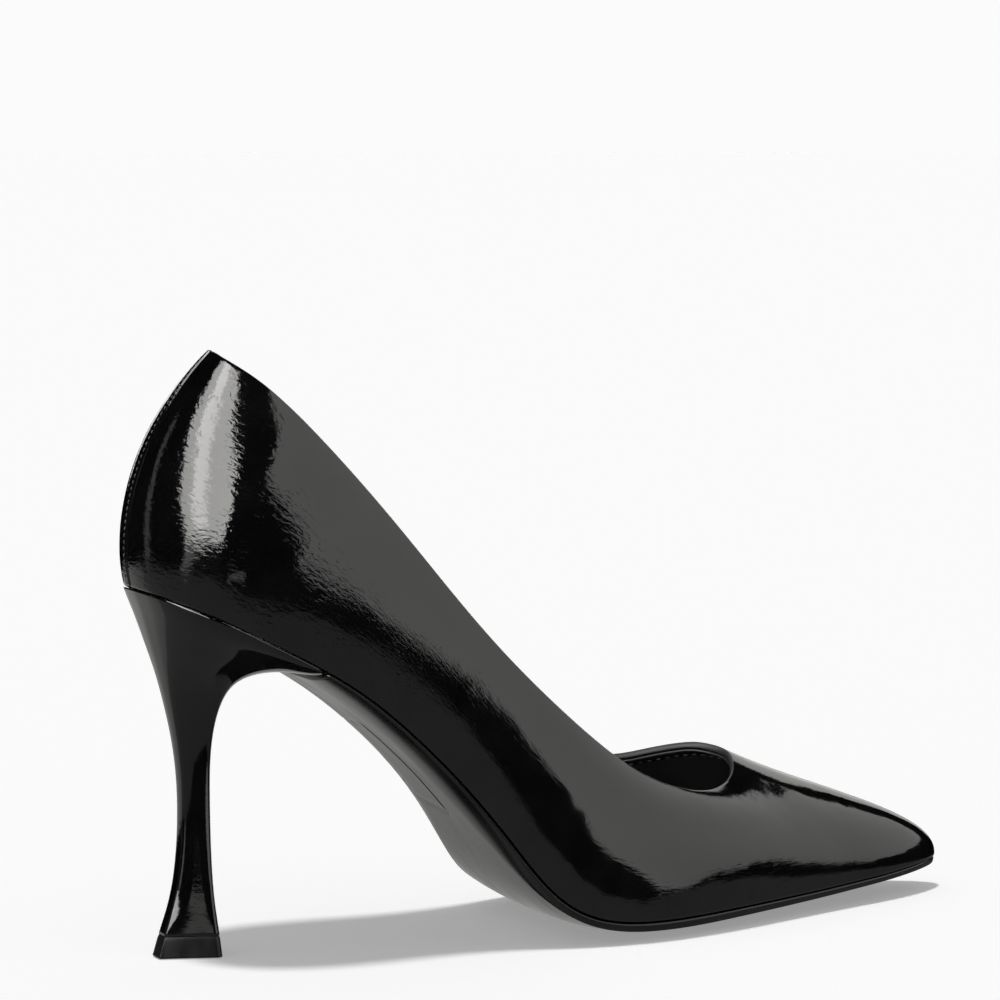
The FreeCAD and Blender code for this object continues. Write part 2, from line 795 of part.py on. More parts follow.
def heel_wire(section, inset):
    """Closed outline of one heel section, moved in by inset."""
    back_x, back_z, breast_x, breast_z = section[:4]
    span = length((breast_x - back_x, 0.0, breast_z - back_z))
    along = ((breast_x - back_x) / span, 0.0, (breast_z - back_z) / span)
    start = add((back_x, 0.0, back_z), along, inset)
    run = span - 2.0 * inset
    sides = []
    for side in (-1.0, 1.0):
        points = []
        for k in range(13):
            part = (k / 12.0) ** 1.6
            half = section_half_width(section, part, inset)
            spot = add(start, along, run * part)
            points.append(vector((spot[0], side * half, spot[2])))
        sides.append(points)
    edges = []
    for points in sides:
        curve = Part.BSplineCurve()
        curve.interpolate(points)
        edges.append(curve.toShape())
    breast = Part.makeLine(sides[0][-1], sides[1][-1])
    back = Part.makeLine(sides[1][0], sides[0][0])
    return Part.Wire(Part.__sortEdges__([edges[0], breast, edges[1], back]))


def heel_form(inset):
    """Heel from the top of the lift to above the seat, moved in by inset."""
    wires = [heel_wire(section, inset) for section in HEEL_SECTIONS[1:]]
    form = Part.makeLoft(wires, True, False)
    seat = band(-16.0, 60.0, 46.0, level(-0.1), level(40.0))
    return form.cut(seat)


def heel_block():
    """Moulded heel with its tube bore and its screw and nail holes."""
    bore = post(TUBE_X, 0.0, TUBE_RADIUS + 0.05, 0.0, TUBE_TOP + 0.2)
    pilot = fastener_holes([(SCREW_X, 0.0)], SCREW_RADIUS + 0.05, -SCREW_DEPTH - 0.2)
    nails = fastener_holes(NAIL_SPOTS, NAIL_RADIUS + 0.05, -NAIL_DEPTH - 0.2)
    return heel_form(COVER_THICKNESS + 0.03).cut(bore).cut(pilot).cut(nails)


def heel_cover():
    return heel_form(0.0).cut(heel_form(COVER_THICKNESS))


def heel_tube():
    outer = post(TUBE_X, 0.0, TUBE_RADIUS, LIFT_HEIGHT + 0.1, TUBE_TOP)
    return outer.cut(post(TUBE_X, 0.0, PIN_RADIUS + 0.05, 0.0, TUBE_TOP + 1.0))


def top_lift():
    """Wearing piece under the heel, moulded round the head of its pin."""
    low = heel_wire(HEEL_SECTIONS[0], 0.0)
    high = heel_wire(HEEL_SECTIONS[1], 0.0)
    block = Part.makeLoft([low, high], True, True)
    keep = Part.makeBox(60.0, 60.0, LIFT_HEIGHT - 0.08, FreeCAD.Vector(-20.0, -30.0, 0.0))
    return block.common(keep).cut(lift_pin_shape(0.03))


def lift_pin_shape(extra):
    stem = post(TUBE_X, 0.0, PIN_RADIUS + extra, 2.0, PIN_TOP)
    head = post(TUBE_X, 0.0, 3.2 + extra, 2.0 - extra, 3.2 + extra)
    return stem.fuse(head).removeSplitter()


def top_lift_pin():
    return lift_pin_shape(0.0)


def heel_screw():
    """Main screw, driven from inside through board and shank into the heel."""
    screw = fastener(SCREW_X, 0.0, SCREW_RADIUS, SCREW_HEAD_RADIUS, -SCREW_DEPTH)
    start = vector(bottom_point(SCREW_X, 0.0, HEAD_LEVELS[0] + 0.5))
    up = vector(seam_frame(SCREW_X)[1])
    slot = Part.makeBox(8.0, 0.9, 2.0, FreeCAD.Vector(-4.0, -0.45, 0.0))
    slot.Placement = FreeCAD.Placement(start, FreeCAD.Rotation(FreeCAD.Vector(0.0, 0.0, 1.0), up))
    return screw.cut(slot)


def heel_nails():
    nails = [fastener(x, y, NAIL_RADIUS, NAIL_HEAD_RADIUS, -NAIL_DEPTH) for x, y in NAIL_SPOTS]
    return Part.makeCompound(nails)


# ---------------------------------------------------------------- assembly
def build_pieces():
    return {
        "upper": upper(),
        "upper_interlining": upper_interlining(),
        "toe_puff": toe_puff(),
        "heel_counter": heel_counter(),
        "topline_tape": topline_tape(),
        "topline_facing": topline_facing(),
        "topline_stitching": topline_stitching(),
        "back_seam_stitching": back_seam_stitching(),
        "vamp_lining": vamp_lining(),
        "quarter_lining_outer": quarter_lining(-1),
        "quarter_lining_inner": quarter_lining(1),
        "heel_grip": heel_grip(),
        "insole_board": insole_board(),
        "shank_board": shank_board(),
        "steel_shank": steel_shank(),
        "shank_rivets": shank_rivets(),
        "bottom_filler": bottom_filler(),
        "forefoot_pad": forefoot_pad(),
        "heel_pad": heel_pad(),
        "sock_lining": sock_lining(),
        "outsole": outsole(),
        "heel_block": heel_block(),
        "heel_cover": heel_cover(),
        "heel_tube": heel_tube(),
        "heel_screw": heel_screw(),
        "heel_nails": heel_nails(),
        "top_lift": top_lift(),
        "top_lift_pin": top_lift_pin(),
    }


def place_on_origin(pieces):
    """Move every piece so that the origin is the centre of the footprint, on the floor."""
    box = FreeCAD.BoundBox()
    for shape in pieces.values():
        box.add(shape.optimalBoundingBox(True, False))
    offset = FreeCAD.Vector(-box.Center.x, -box.Center.y, -box.ZMin)
    print("moved by", offset, "size", box.XLength, box.YLength, box.ZLength)
    for shape in pieces.values():
        shape.translate(offset)


def main():
    os.makedirs("parts", exist_ok=True)
    pieces = build_pieces()
    place_on_origin(pieces)
    for name, shape in pieces.items():
        shape.exportStep("parts/" + name + ".step")
        print(name, "valid" if shape.isValid() else "NOT VALID",
              "solids", len(shape.Solids), "volume", round(shape.Volume, 1))


if __name__ == "__main__":
    main()
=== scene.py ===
import bmesh
import bpy
import json
import math
import numpy as np
from mathutils import Matrix, Vector, noise


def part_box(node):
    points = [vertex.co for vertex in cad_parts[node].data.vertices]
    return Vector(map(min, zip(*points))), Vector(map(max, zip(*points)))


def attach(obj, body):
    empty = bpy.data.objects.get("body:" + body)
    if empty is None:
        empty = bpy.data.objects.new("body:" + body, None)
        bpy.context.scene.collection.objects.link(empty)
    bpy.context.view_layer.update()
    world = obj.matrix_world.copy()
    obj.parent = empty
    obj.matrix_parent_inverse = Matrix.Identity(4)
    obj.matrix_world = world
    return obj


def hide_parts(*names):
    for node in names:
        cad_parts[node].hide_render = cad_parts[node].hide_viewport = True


# High heel pump, right foot.  Shapes are worked out in millimetres on the shoe's own axes
# (+X to the toe, -Y to the outer side, x = 0 at the back of the top lift) and placed in the frame
# by to_frame().

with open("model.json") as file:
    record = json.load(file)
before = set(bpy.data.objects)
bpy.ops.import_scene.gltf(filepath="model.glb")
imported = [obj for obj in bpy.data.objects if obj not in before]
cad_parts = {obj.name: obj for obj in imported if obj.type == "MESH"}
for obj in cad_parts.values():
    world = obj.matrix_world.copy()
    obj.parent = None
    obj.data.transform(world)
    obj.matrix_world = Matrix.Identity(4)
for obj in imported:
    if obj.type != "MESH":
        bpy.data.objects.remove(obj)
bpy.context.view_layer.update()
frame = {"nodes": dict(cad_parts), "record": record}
NODES = frame["nodes"]

# ---------------- driving dimensions, mm
MM = 0.001
LIFT_LOW, LIFT_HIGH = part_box("top_lift")
SHOE_ORIGIN = np.array([LIFT_LOW.x, 0.5 * (LIFT_LOW.y + LIFT_HIGH.y), LIFT_LOW.z])
LIFT_HEIGHT = 5.6
BALL_SEAM_HEIGHT = 4.9
UPPER_THICKNESS = 1.2
LINING_START = 1.9
LINING_THICKNESS = 0.7
FACING_HEIGHT = 3.0
EDGE_GAP = 0.3
FIRST_LAYER_V = 0.045
VAMP_LINING_BACK_X = 104.0
HEEL_GRIP_FRONT_X = 26.0
BREAST_X = 37.2
TOE_X = 227.2
COVER_THICKNESS = 0.8
MARGIN_WIDTH = 11.0
ROLL_HEIGHT = 1.4             # the topline edge is full thickness this far down
ROLL_FLATNESS = 0.5           # the edge is pressed flat along the topline
TUCK = 0.7                    # rounding where the upper turns under
SEAM_LAP = 0.35               # step at the lapped back seam
LAP_START = 2.4               # the lap keeps its full step this far from its edge
LAP_FADE = 9.0                # distance over which the lap fades into the quarter
STITCH_FROM_EDGE = 1.4
STITCH_GROOVE = 0.16          # depth of the groove the back seam's stitches pull in
WAVES = ((0.07, 11.0), (0.03, 4.5))        # waviness of the lasted skin: height, size
FACING_TOP = 0.7              # below the topline
TAPE_BAND = (5.0, 2.5)        # below the topline, lower edge and upper edge
TAPE_START = 1.27
TAPE_THICKNESS = 0.55
MARGIN_LEVELS = (1.25, 0.12)  # upper and lower face of the lasting margin
HEEL_EDGE_RADIUS = 0.9        # rounding of the heel's breast edges
SEAT_GAP = 0.12               # the heel cover stops this far below the seam surface
COUNTER_BACK_STEP = 0.12      # the heel's back is this much fuller in its middle

# Stitches: pitch, length, radius
TOPLINE_STITCH = (2.5, 1.75, 0.2)
BACK_SEAM_STITCH = (1.65, 1.15, 0.17)

# Outsole
SOLE_INSET = 0.25
EDGE_ROLL = 0.7               # rounding width of its edge at the forepart
WAIST_ROLL = 12.5             # the waist's underside curls up over this width at each side
WAIST_BELLY = 1.5             # and is this much proud of the plain sole between
WAIST_END = 74.0              # the waist's shape fades from here
BALL_START = 104.0            # to here
EDGE_LEVEL = 0.45
SOLE_TOP_GAP = 0.02
PANEL = ((57.5, -1.5), (59.5, 16.0), (79.0, 10.0), (80.5, -6.0))     # plan corners
PANEL_LINE = 0.22
PANEL_LINE_WIDTH = 0.35

# Sock: its level at the heel, waist, ball and toe, and between which x each change is made
SOCK_LEVELS = (5.9, 4.05, 4.7, 2.85)
SOCK_CHANGES = ((49.5, 57.0), (100.0, 107.0), (172.0, 180.0))
SOCK_THICKNESS = 0.8

# Foam pads: start x, end x, inset from the seam, low level, high level
HEEL_PAD = (-4.0, 46.0, 6.6, 4.1, 5.75)
FOREFOOT_PAD = (108.5, 170.5, 7.0, 2.9, 4.55)
PAD_END_ROUND = 9.0

# Mesh density: ribs or stations along, lanes or rows across
RIB_CROWDING = 0.62
UPPER_RIBS, FACING_RIBS, TAPE_RIBS, STITCH_LINE_RIBS = 760, 520, 260, 500
VAMP_RIBS, QUARTER_RIBS, GRIP_RIBS, LINING_ROWS = 320, 110, 150, 40
SOLE_STATIONS, SOLE_LANES = 430, 97
SOCK_STATIONS, PAD_STATIONS, PLATE_LANES = 200, 60, 31
HEEL_ROWS, SIDE_LANES, BREAST_LANES = 120, 26, 9

# The last, as ribs from the seam up to the topline:
# seam x, seam half width, topline x, topline half width, topline height,
# then the pull of the two inner handles: outwards and up at the seam, outwards and down at the top.
BACK_RIB = (-5.8, 0, 15.8, 0, 152.5, 3, 11, 15, 21.5)
OUTER_RIBS = (
    (-1.6, -14.5, 17.2, -6.8, 150.8, 3, 12, 14.5, 21),
    (9, -23.6, 24, -14.9, 145, 3.4, 14, 12.5, 19),
    (30, -26.2, 40.5, -23, 127, 4.5, 14, 8, 15),
    (52, -24.6, 59, -25.3, 105.4, 5.5, 13, 5.5, 13),
    (75, -26.3, 80.5, -27.6, 79.6, 5, 12.5, 5.5, 12),
    (96, -32.8, 101, -29.4, 59, 3.5, 12, 6.5, 12),
    (118, -36.4, 119, -29, 44.7, 2.5, 12, 7, 11),
    (143, -32.9, 135, -26.4, 37.4, 2.2, 11, 7, 8.5),
    (170, -25, 148, -20.8, 35.2, 2.2, 10.5, 6, 6),
    (195, -17.4, 157.6, -12.6, 36.6, 2.2, 10.5, 4.5, 7),
    (216, -9.8, 162, -5.6, 39.4, 2, 11, 3.5, 9.5),
)
TOE_RIB = (TOE_X, 0, 163.3, 0.6, 41.3, 2, 12.2, 3.5, 12.3)
INNER_RIBS = (
    (216, 9.8, 161.6, 6, 42.2, 2, 11.2, 3, 12.4),
    (195, 17.8, 157.6, 11.4, 42.3, 2.2, 10.5, 3, 12),
    (170, 25.4, 149, 18.6, 40.2, 2.2, 11, 5, 9.5),
    (145, 32.6, 136, 25, 38.6, 2.2, 11.5, 6, 9.5),
    (120, 34.2, 120, 28, 45.6, 2.4, 12.5, 6.5, 11),
    (97, 26.4, 101, 28, 60.4, 4, 13, 6, 12),
    (75, 19.8, 80.5, 25.8, 81.4, 7, 14, 5.5, 12.5),
    (52, 21.4, 59, 23.8, 107.4, 6, 14, 5.5, 13.5),
    (30, 24.2, 40.5, 22, 128.6, 5, 14, 8, 15.5),
    (9, 22.9, 24, 14.7, 145.6, 3.6, 14, 12.5, 19.5),
    (-1.6, 14.3, 17.2, 6.8, 151, 3, 12, 14.5, 21),
)
HANDLE_LEAN = 0.35

# Height of the seam along the shoe, bulge of the bottom, and edge thickness of the outsole
SEAM_PROFILE = (
    (-10, 95.9), (7, 88.5), (30, 77), (48, 66), (64, 52.3), (77, 38.2),
    (85, 27.8), (94, 15.9), (102, 9.2), (112, 5.8), (124, BALL_SEAM_HEIGHT),
    (150, 5.2), (180, 5.8), (205, 6.9), (232, 8.4),
)
CROWN_PROFILE = (
    (-10, 0), (60, 0), (85, 0.2), (105, 1.7), (125, 2.4), (150, 2),
    (185, 0.9), (215, 0.1), (232, 0),
)
SOLE_PROFILE = (
    (30, 1.2), (50, 1.3), (80, 1.5), (100, 2), (120, 2.4), (170, 2.2), (232, 1.7),
)

# Heel sections from the floor up: back x, z, breast x, z, half width at the back, largest,
# at the breast, where it is largest (0 back, 1 breast), roundness
HEEL_SECTIONS = (
    (0, 0, 15.2, 0, 2.5, 7.7, 7.7, 1, 1),
    (1.7, 5.6, 14.7, 5.6, 2.4, 7.1, 7.1, 1, 1.05),
    (3.9, 12.5, 14.1, 12.5, 2.1, 6, 6, 0.95, 1.2),
    (6, 24.4, 13.6, 24.4, 1.7, 4.9, 4.8, 0.85, 1.5),
    (6.6, 40, 13.5, 39, 1.5, 4.4, 4.2, 0.75, 1.8),
    (5.4, 54, 13.8, 54, 1.5, 5.2, 4.9, 0.7, 2),
    (3.2, 65, 15.4, 64.5, 1.6, 8, 7.5, 0.68, 2),
    (1.4, 72.5, 18, 69.2, 1.8, 11.6, 9.3, 0.65, 2),
    (-0.7, 80, 22.5, 72, 2, 16.6, 12.5, 0.62, 2.1),
    (-2.7, 87, 29.5, 72.9, 2.2, 21.6, 18.6, 0.6, 2.2),
    (-4.8, 93, 36.4, 73.2, 2.4, 25.4, 25.2, 0.6, 2.2),
    (-6.6, 99, 38.6, 80, 2.4, 26.4, 26.2, 0.6, 2.2),
)


# ---------------- curves
def unit(a):
    return a / np.linalg.norm(a, axis=-1, keepdims=True)


def running(steps):
    """Running total of steps, from nought."""
    return np.concatenate([[0.0], np.cumsum(steps)])


def smooth_step(x, start, end):
    part = np.clip((x - start) / (end - start), 0.0, 1.0)
    return part * part * (3 - 2 * part)


class Spline:
    """Cubic spline through rows of values at knots, closed on itself or with free ends."""

    def __init__(self, knots, values, closed=False):
        self.knots = np.array(knots, float)
        self.values = np.array(values, float).reshape(len(knots), -1)
        self.closed = closed
        gaps = np.diff(self.knots)
        slopes = np.diff(self.values, axis=0) / gaps[:, None]
        last = len(gaps)
        matrix = np.eye(last + 1)
        right = np.zeros_like(self.values)
        for i in range(1, last):
            matrix[i, i - 1:i + 2] = gaps[i - 1], 2 * (gaps[i - 1] + gaps[i]), gaps[i]
            right[i] = 6 * (slopes[i] - slopes[i - 1])
        if closed:
            matrix[0, [last - 1, 0, 1]] = gaps[-1], 2 * (gaps[-1] + gaps[0]), gaps[0]
            right[0] = 6 * (slopes[0] - slopes[-1])
            matrix[last, 0] = -1.0
        self.bend = np.linalg.solve(matrix, right)

    def __call__(self, t):
        t = np.asarray(t, float)
        if self.closed:
            t = self.knots[0] + np.mod(t - self.knots[0], self.knots[-1] - self.knots[0])
        i = np.clip(np.searchsorted(self.knots, t) - 1, 0, len(self.knots) - 2)
        width = (self.knots[i + 1] - self.knots[i])[..., None]
        a = (self.knots[i + 1] - t)[..., None] / width
        b = 1 - a
        curve = (a ** 3 - a) * self.bend[i] + (b ** 3 - b) * self.bend[i + 1]
        return a * self.values[i] + b * self.values[i + 1] + curve * width * width / 6.0


def profile(rows):
    curve = Spline([row[0] for row in rows], [row[1] for row in rows])
    return lambda x: curve(x)[..., 0]


def rib_spline():
    rows = [BACK_RIB, *OUTER_RIBS, TOE_RIB, *INNER_RIBS, BACK_RIB]
    steps = [math.hypot(b[0] - a[0], b[1] - a[1]) for a, b in zip(rows, rows[1:])]
    knots = running(steps)
    return Spline(knots / knots[-1], rows, closed=True), knots[-1]


seam_height = profile(SEAM_PROFILE)
crown_depth = profile(CROWN_PROFILE)
sole_thickness = profile(SOLE_PROFILE)
RIBS, SEAM_LENGTH = rib_spline()
TOE_U = float(RIBS.knots[len(OUTER_RIBS) + 1])


# ---------------- skin of the shoe
def seam_point(u):
    row = RIBS(u)
    return np.stack([row[..., 0], row[..., 1], seam_height(row[..., 0])], -1)


def outward(u):
    """Level direction square to the seam, away from the foot."""
    step = seam_point(u + 1e-4) - seam_point(u - 1e-4)
    return unit(np.stack([step[..., 1], -step[..., 0], 0 * step[..., 0]], -1))


def rib_handles(u):
    row = RIBS(u)
    foot = seam_point(u)
    top = row[..., 2:5]
    out = outward(u)
    low = foot + out * row[..., 5:6]
    low[..., 2] += row[..., 6]
    high = top + out * row[..., 7:8]
    high[..., :2] += HANDLE_LEAN * (foot[..., :2] - top[..., :2])
    high[..., 2] -= row[..., 8]
    return foot, low, high, top


def bezier(handles, v):
    foot, low, high, top = [h[:, None, :] for h in handles]
    v = v[..., None]
    w = 1 - v
    return w ** 3 * foot + 3 * w * w * v * low + 3 * w * v * v * high + v ** 3 * top


def wall(u, v, depth):
    """Points and outward normals of the wall: u is one number a rib, v and depth one row a rib."""
    step = 1e-3
    here = rib_handles(u)
    points = bezier(here, v)
    along = bezier(rib_handles(u + step), v) - bezier(rib_handles(u - step), v)
    up = bezier(here, v + step) - bezier(here, v - step)
    normals = unit(np.cross(along, up))
    return points - normals * np.broadcast_to(depth, v.shape)[..., None], normals


def v_per_mm(u, v):
    """How much v changes for one millimetre up the wall."""
    step = 1e-3
    here = rib_handles(u)
    return 2 * step / np.linalg.norm(bezier(here, v + step) - bezier(here, v - step), axis=-1)


def below_topline(u, distance):
    _, _, high, top = rib_handles(u)
    return 1 - distance / (3 * np.linalg.norm(top - high, axis=-1))


def way_round(count):
    """Ribs all the way round the seam, closer together at the back and the toe."""
    fraction = np.arange(count) / count
    return fraction - RIB_CROWDING * np.sin(4 * np.pi * fraction) / (4 * np.pi)


def side_of_seam(side, count):
    """Way round the seam from the back to the toe; side -1 is outer, +1 inner."""
    return np.linspace(0.0 if side < 0 else 1.0, TOE_U, count)


def u_at_seam_x(x, side):
    u = side_of_seam(side, 2000)
    return float(np.interp(x, RIBS(u)[:, 0], u))


# ---------------- bottom of the shoe
def seam_normal(x):
    slope = (seam_height(x + 0.01) - seam_height(x - 0.01)) / 0.02
    size = np.hypot(1.0, slope)
    return np.stack([-slope / size, 0 * x, 1 / size], -1)


def bottom_point(x, y, level):
    """Point at plan position x, y on the seam surface, raised square to it by level."""
    base = np.stack([x, y, seam_height(x)], -1)
    return base + seam_normal(x) * np.asarray(level)[..., None]


def level_of(points):
    """Distance of points above the seam surface, measured square to it."""
    x = points[..., 0].copy()
    for _ in range(6):
        normal = seam_normal(x)
        level = (points[..., 2] - seam_height(x)) / normal[..., 2]
        level = 0.5 * level + 0.5 * (points[..., 2] - seam_height(x)) * normal[..., 2]
        x = points[..., 0] - normal[..., 0] * level
    normal = seam_normal(x)
    return (points[..., 2] - seam_height(x)) / normal[..., 2]


# ---------------- meshes
def to_frame(points):
    return points * MM + SHOE_ORIGIN


def grid_faces(rows, columns, wrap):
    """Quads between rows of points; wrap joins each row's end to its start."""
    faces = []
    for r in range(rows - 1):
        for c in range(columns if wrap else columns - 1):
            ahead = (c + 1) % columns
            faces.append((r * columns + c, r * columns + ahead,
                          (r + 1) * columns + ahead, (r + 1) * columns + c))
    return faces


def add_object(name, data):
    made = bpy.data.objects.new(name, data)
    bpy.context.scene.collection.objects.link(made)
    return made


def finish_mesh(name, points, faces, corner_uv, cut_edge=None):
    mesh = bpy.data.meshes.new(name)
    mesh.from_pydata(to_frame(points).tolist(), [], faces)
    layer = mesh.uv_layers.new(name="surface")
    layer.data.foreach_set("uv", np.asarray(corner_uv, float).ravel())
    if cut_edge is not None:
        mesh.attributes.new("cut_edge", "FLOAT", "POINT").data.foreach_set("value", cut_edge)
    work = bmesh.new()
    work.from_mesh(mesh)
    bmesh.ops.remove_doubles(work, verts=work.verts, dist=2e-6)
    bmesh.ops.recalc_face_normals(work, faces=work.faces)
    work.to_mesh(mesh)
    work.free()
    mesh.polygons.foreach_set("use_smooth", [True] * len(mesh.polygons))
    return add_object(name, mesh)


def grid_piece(name, grid, closed_along, closed_section=True, cut_from=0, cut_to=0):
    """Closed skin over sections: grid is stations by section points by 3.

    UVs are true distances in metres: along the stations, and round the section.  Section points
    from cut_from up to cut_to lie on a cut, inked edge.
    """
    count, size = grid.shape[:2]
    along = np.linalg.norm(np.diff(np.concatenate([grid, grid[:1]]), axis=0), axis=2).mean(1)
    around = np.linalg.norm(np.diff(np.concatenate([grid, grid[:, :1]], 1), axis=1), axis=2).mean(0)
    s, t = running(along) * MM, running(around) * MM
    faces = []
    uvs = []
    for i in range(count if closed_along else count - 1):
        there = (i + 1) % count
        for k in range(size if closed_section else size - 1):
            up = (k + 1) % size
            faces.append((i * size + k, there * size + k, there * size + up, i * size + up))
            uvs.extend([(s[i], t[k]), (s[i + 1], t[k]), (s[i + 1], t[k + 1]), (s[i], t[k + 1])])
    if not closed_along:
        for i in (0, count - 1):
            for k in range(size // 2 - 1):
                corners = (k, k + 1, size - 2 - k, size - 1 - k)
                faces.append(tuple(i * size + corner for corner in corners))
                uvs.extend([(s[i], t[corner]) for corner in corners])
    cut_edge = np.zeros((count, size))
    cut_edge[:, cut_from:cut_to] = 1.0
    return finish_mesh(name, grid.reshape(-1, 3), faces, uvs, cut_edge.ravel())


def place(piece, slot, material, *nodes):
    """Ride the piece, give it its material, and hide the CAD nodes it stands for; the slot is not
    used.
    """
    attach(piece, "root")
    piece.data.materials.append(material)
    if nodes:
        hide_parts(*nodes)
    return piece


def layer_grid(u, v_low, v_high, start, thickness, rows):
    """Section loops of one layer of the wall, with rounded edges."""
    radius = 0.5 * thickness
    climb = np.linspace(0.0, 1.0, rows)
    arc = np.linspace(0.0, np.pi, 7)[1:-1]
    rise = v_low[:, None] + (v_high - v_low)[:, None] * climb
    top_turn = v_high[:, None] + v_per_mm(u, v_high[:, None]) * radius * np.sin(arc)
    low_turn = v_low[:, None] - v_per_mm(u, v_low[:, None]) * radius * np.sin(arc)
    v = np.concatenate([rise, top_turn, rise[:, ::-1], low_turn], 1)
    outer = np.full(rows, start)
    inner = np.full(rows, start + thickness)
    over = start + radius - radius * np.cos(arc)
    depth = np.concatenate([outer, over, inner, over[::-1]])
    return wall(u, v, depth[None, :])[0]


def wall_layer(name, u, v_low, v_high, start, thickness, rows, closed):
    return grid_piece(name, layer_grid(u, v_low, v_high, start, thickness, rows), closed)


def waviness(points):
    """Slight waviness of the lasted skin, in the surface itself."""
    waves = [sum(height * noise.noise(Vector(point) / size) for height, size in WAVES)
             for point in points.reshape(-1, 3)]
    return np.array(waves).reshape(points.shape[:2])


# ---------------- upper
def lap_height(u):
    """The inner quarter laps over the outer one at the back, with its stitches in a low groove."""
    distance = (1 - u) * SEAM_LENGTH
    step = SEAM_LAP * (1 - smooth_step(distance, LAP_START, LAP_FADE))
    groove = STITCH_GROOVE * np.exp(-((distance - STITCH_FROM_EDGE) / 0.4) ** 2)
    return np.where((u > 0.9) & (u < 1 - 1e-6), step - groove, 0.0)


def margin_rows(u, level, shares):
    """Rows across the lasting margin, from the seam inwards."""
    foot = seam_point(u)
    goal = np.clip(foot[:, 0], 16.0, 203.0)
    reach = np.hypot(goal - foot[:, 0], foot[:, 1])
    part = (np.minimum(MARGIN_WIDTH, 0.6 * reach) / reach)[:, None] * shares[None, :]
    x = foot[:, :1] + part * (goal[:, None] - foot[:, :1])
    y = foot[:, 1:2] * (1 - part)
    return bottom_point(x, y, np.full(x.shape, level))


def make_upper(material):
    u = way_round(UPPER_RIBS)
    tuck = v_per_mm(u, np.full((len(u), 1), 0.02))
    climb = np.linspace(0.0, 1.0, 96)[None, :]
    rise = TUCK * tuck + (1 - TUCK * tuck) * climb
    lap = lap_height(u)[:, None]
    bare, _ = wall(u, rise, 0.0)
    outer, _ = wall(u, rise, waviness(bare) - lap)
    radius = 0.5 * LINING_START
    arc = np.linspace(0.0, np.pi, 11)[1:-1]
    turn_v = 1 + v_per_mm(u, np.ones((len(u), 1))) * radius * ROLL_FLATNESS * np.sin(arc)
    turn_depth = radius - radius * np.cos(arc) - lap * 0.5 * (1 + np.cos(arc))
    nose, _ = wall(u, turn_v, turn_depth)
    falls = np.array([0.0, 0.5 * ROLL_HEIGHT, ROLL_HEIGHT, ROLL_HEIGHT + 0.5])
    fall_v = np.stack([below_topline(u, fall) for fall in falls], 1)
    fold, _ = wall(u, fall_v, np.array([[LINING_START, LINING_START, 1.6, UPPER_THICKNESS]]))
    inner_v = fall_v[:, -1:] + (0.035 - fall_v[:, -1:]) * np.linspace(0.0, 1.0, 14)[None, 1:]
    inner, _ = wall(u, inner_v, UPPER_THICKNESS)
    over = margin_rows(u, MARGIN_LEVELS[0], np.array([0.35, 0.7, 1.0]))
    under = margin_rows(u, MARGIN_LEVELS[1], np.array([1.0, 0.7, 0.35, 0.09]))
    curl_v = tuck * TUCK * np.array([[0.12, 0.5]])
    curl, _ = wall(u, curl_v, TUCK * np.array([[0.48, 0.15]]))
    grid = np.concatenate([outer, nose, fold, inner, over, under, curl], 1)
    last_outer = outer.shape[1]
    piece = grid_piece("upper_patent", grid, True,
                       cut_from=last_outer, cut_to=last_outer + nose.shape[1] + 2)
    return place(piece, "patent", material, "upper")


def make_facing(material):
    u = way_round(FACING_RIBS)
    grid = layer_grid(u, below_topline(u, FACING_HEIGHT - 0.35), below_topline(u, FACING_TOP),
                      LINING_START + 0.04, LINING_THICKNESS, 7)
    piece = grid_piece("facing_band", grid, True, cut_from=6, cut_to=13)
    return place(piece, "patent", material, "topline_facing")


def make_tape(material):
    u = way_round(TAPE_RIBS)
    low, high = [below_topline(u, fall) for fall in TAPE_BAND]
    piece = wall_layer("topline_tape_cloth", u, low, high, TAPE_START, TAPE_THICKNESS, 4, True)
    return place(piece, "tape", material, "topline_tape")


def lining_between(name, u_start, u_end, count, slot, material, node):
    u = np.linspace(u_start, u_end, count)
    piece = wall_layer(name, u, np.full(count, FIRST_LAYER_V),
                       below_topline(u, FACING_HEIGHT + EDGE_GAP), LINING_START, LINING_THICKNESS,
                       LINING_ROWS, False)
    return place(piece, slot, material, node)


def make_linings(leather, cloth, suede):
    vamp = [u_at_seam_x(VAMP_LINING_BACK_X, side) for side in (-1, 1)]
    lining_between("vamp_lining_cloth", vamp[0], vamp[1], VAMP_RIBS, "lining_cloth", cloth,
                   "vamp_lining")
    for side, label in ((-1, "outer"), (1, "inner")):
        front = u_at_seam_x(VAMP_LINING_BACK_X - EDGE_GAP, side)
        rear = u_at_seam_x(HEEL_GRIP_FRONT_X, side)
        lining_between("quarter_lining_" + label + "_skin", min(front, rear), max(front, rear),
                       QUARTER_RIBS, "lining", leather, "quarter_lining_" + label)
    start = u_at_seam_x(HEEL_GRIP_FRONT_X - EDGE_GAP, 1) - 1.0
    end = u_at_seam_x(HEEL_GRIP_FRONT_X - EDGE_GAP, -1)
    lining_between("heel_grip_suede", start, end, GRIP_RIBS, "suede", suede, "heel_grip")


# ---------------- stitches
def stitch_points(middle, along, normal, run, radius):
    """One plump thread stitch: rings of points along a bent capsule."""
    side = np.cross(normal, along)
    rings = 7
    sides = 8
    points = []
    for i in range(rings):
        part = i / (rings - 1)
        fat = radius * max(0.28, math.sin(math.pi * part)) ** 0.45
        arch = radius * (1.2 * math.sin(math.pi * part) - 0.9)
        centre = middle + along * run * (part - 0.5) + normal * arch
        for k in range(sides):
            angle = 2 * math.pi * k / sides
            points.append(centre + fat * (math.cos(angle) * side + math.sin(angle) * normal))
    faces = grid_faces(rings, sides, True)
    faces.append(tuple(reversed(range(sides))))
    faces.append(tuple((rings - 1) * sides + k for k in range(sides)))
    return points, faces


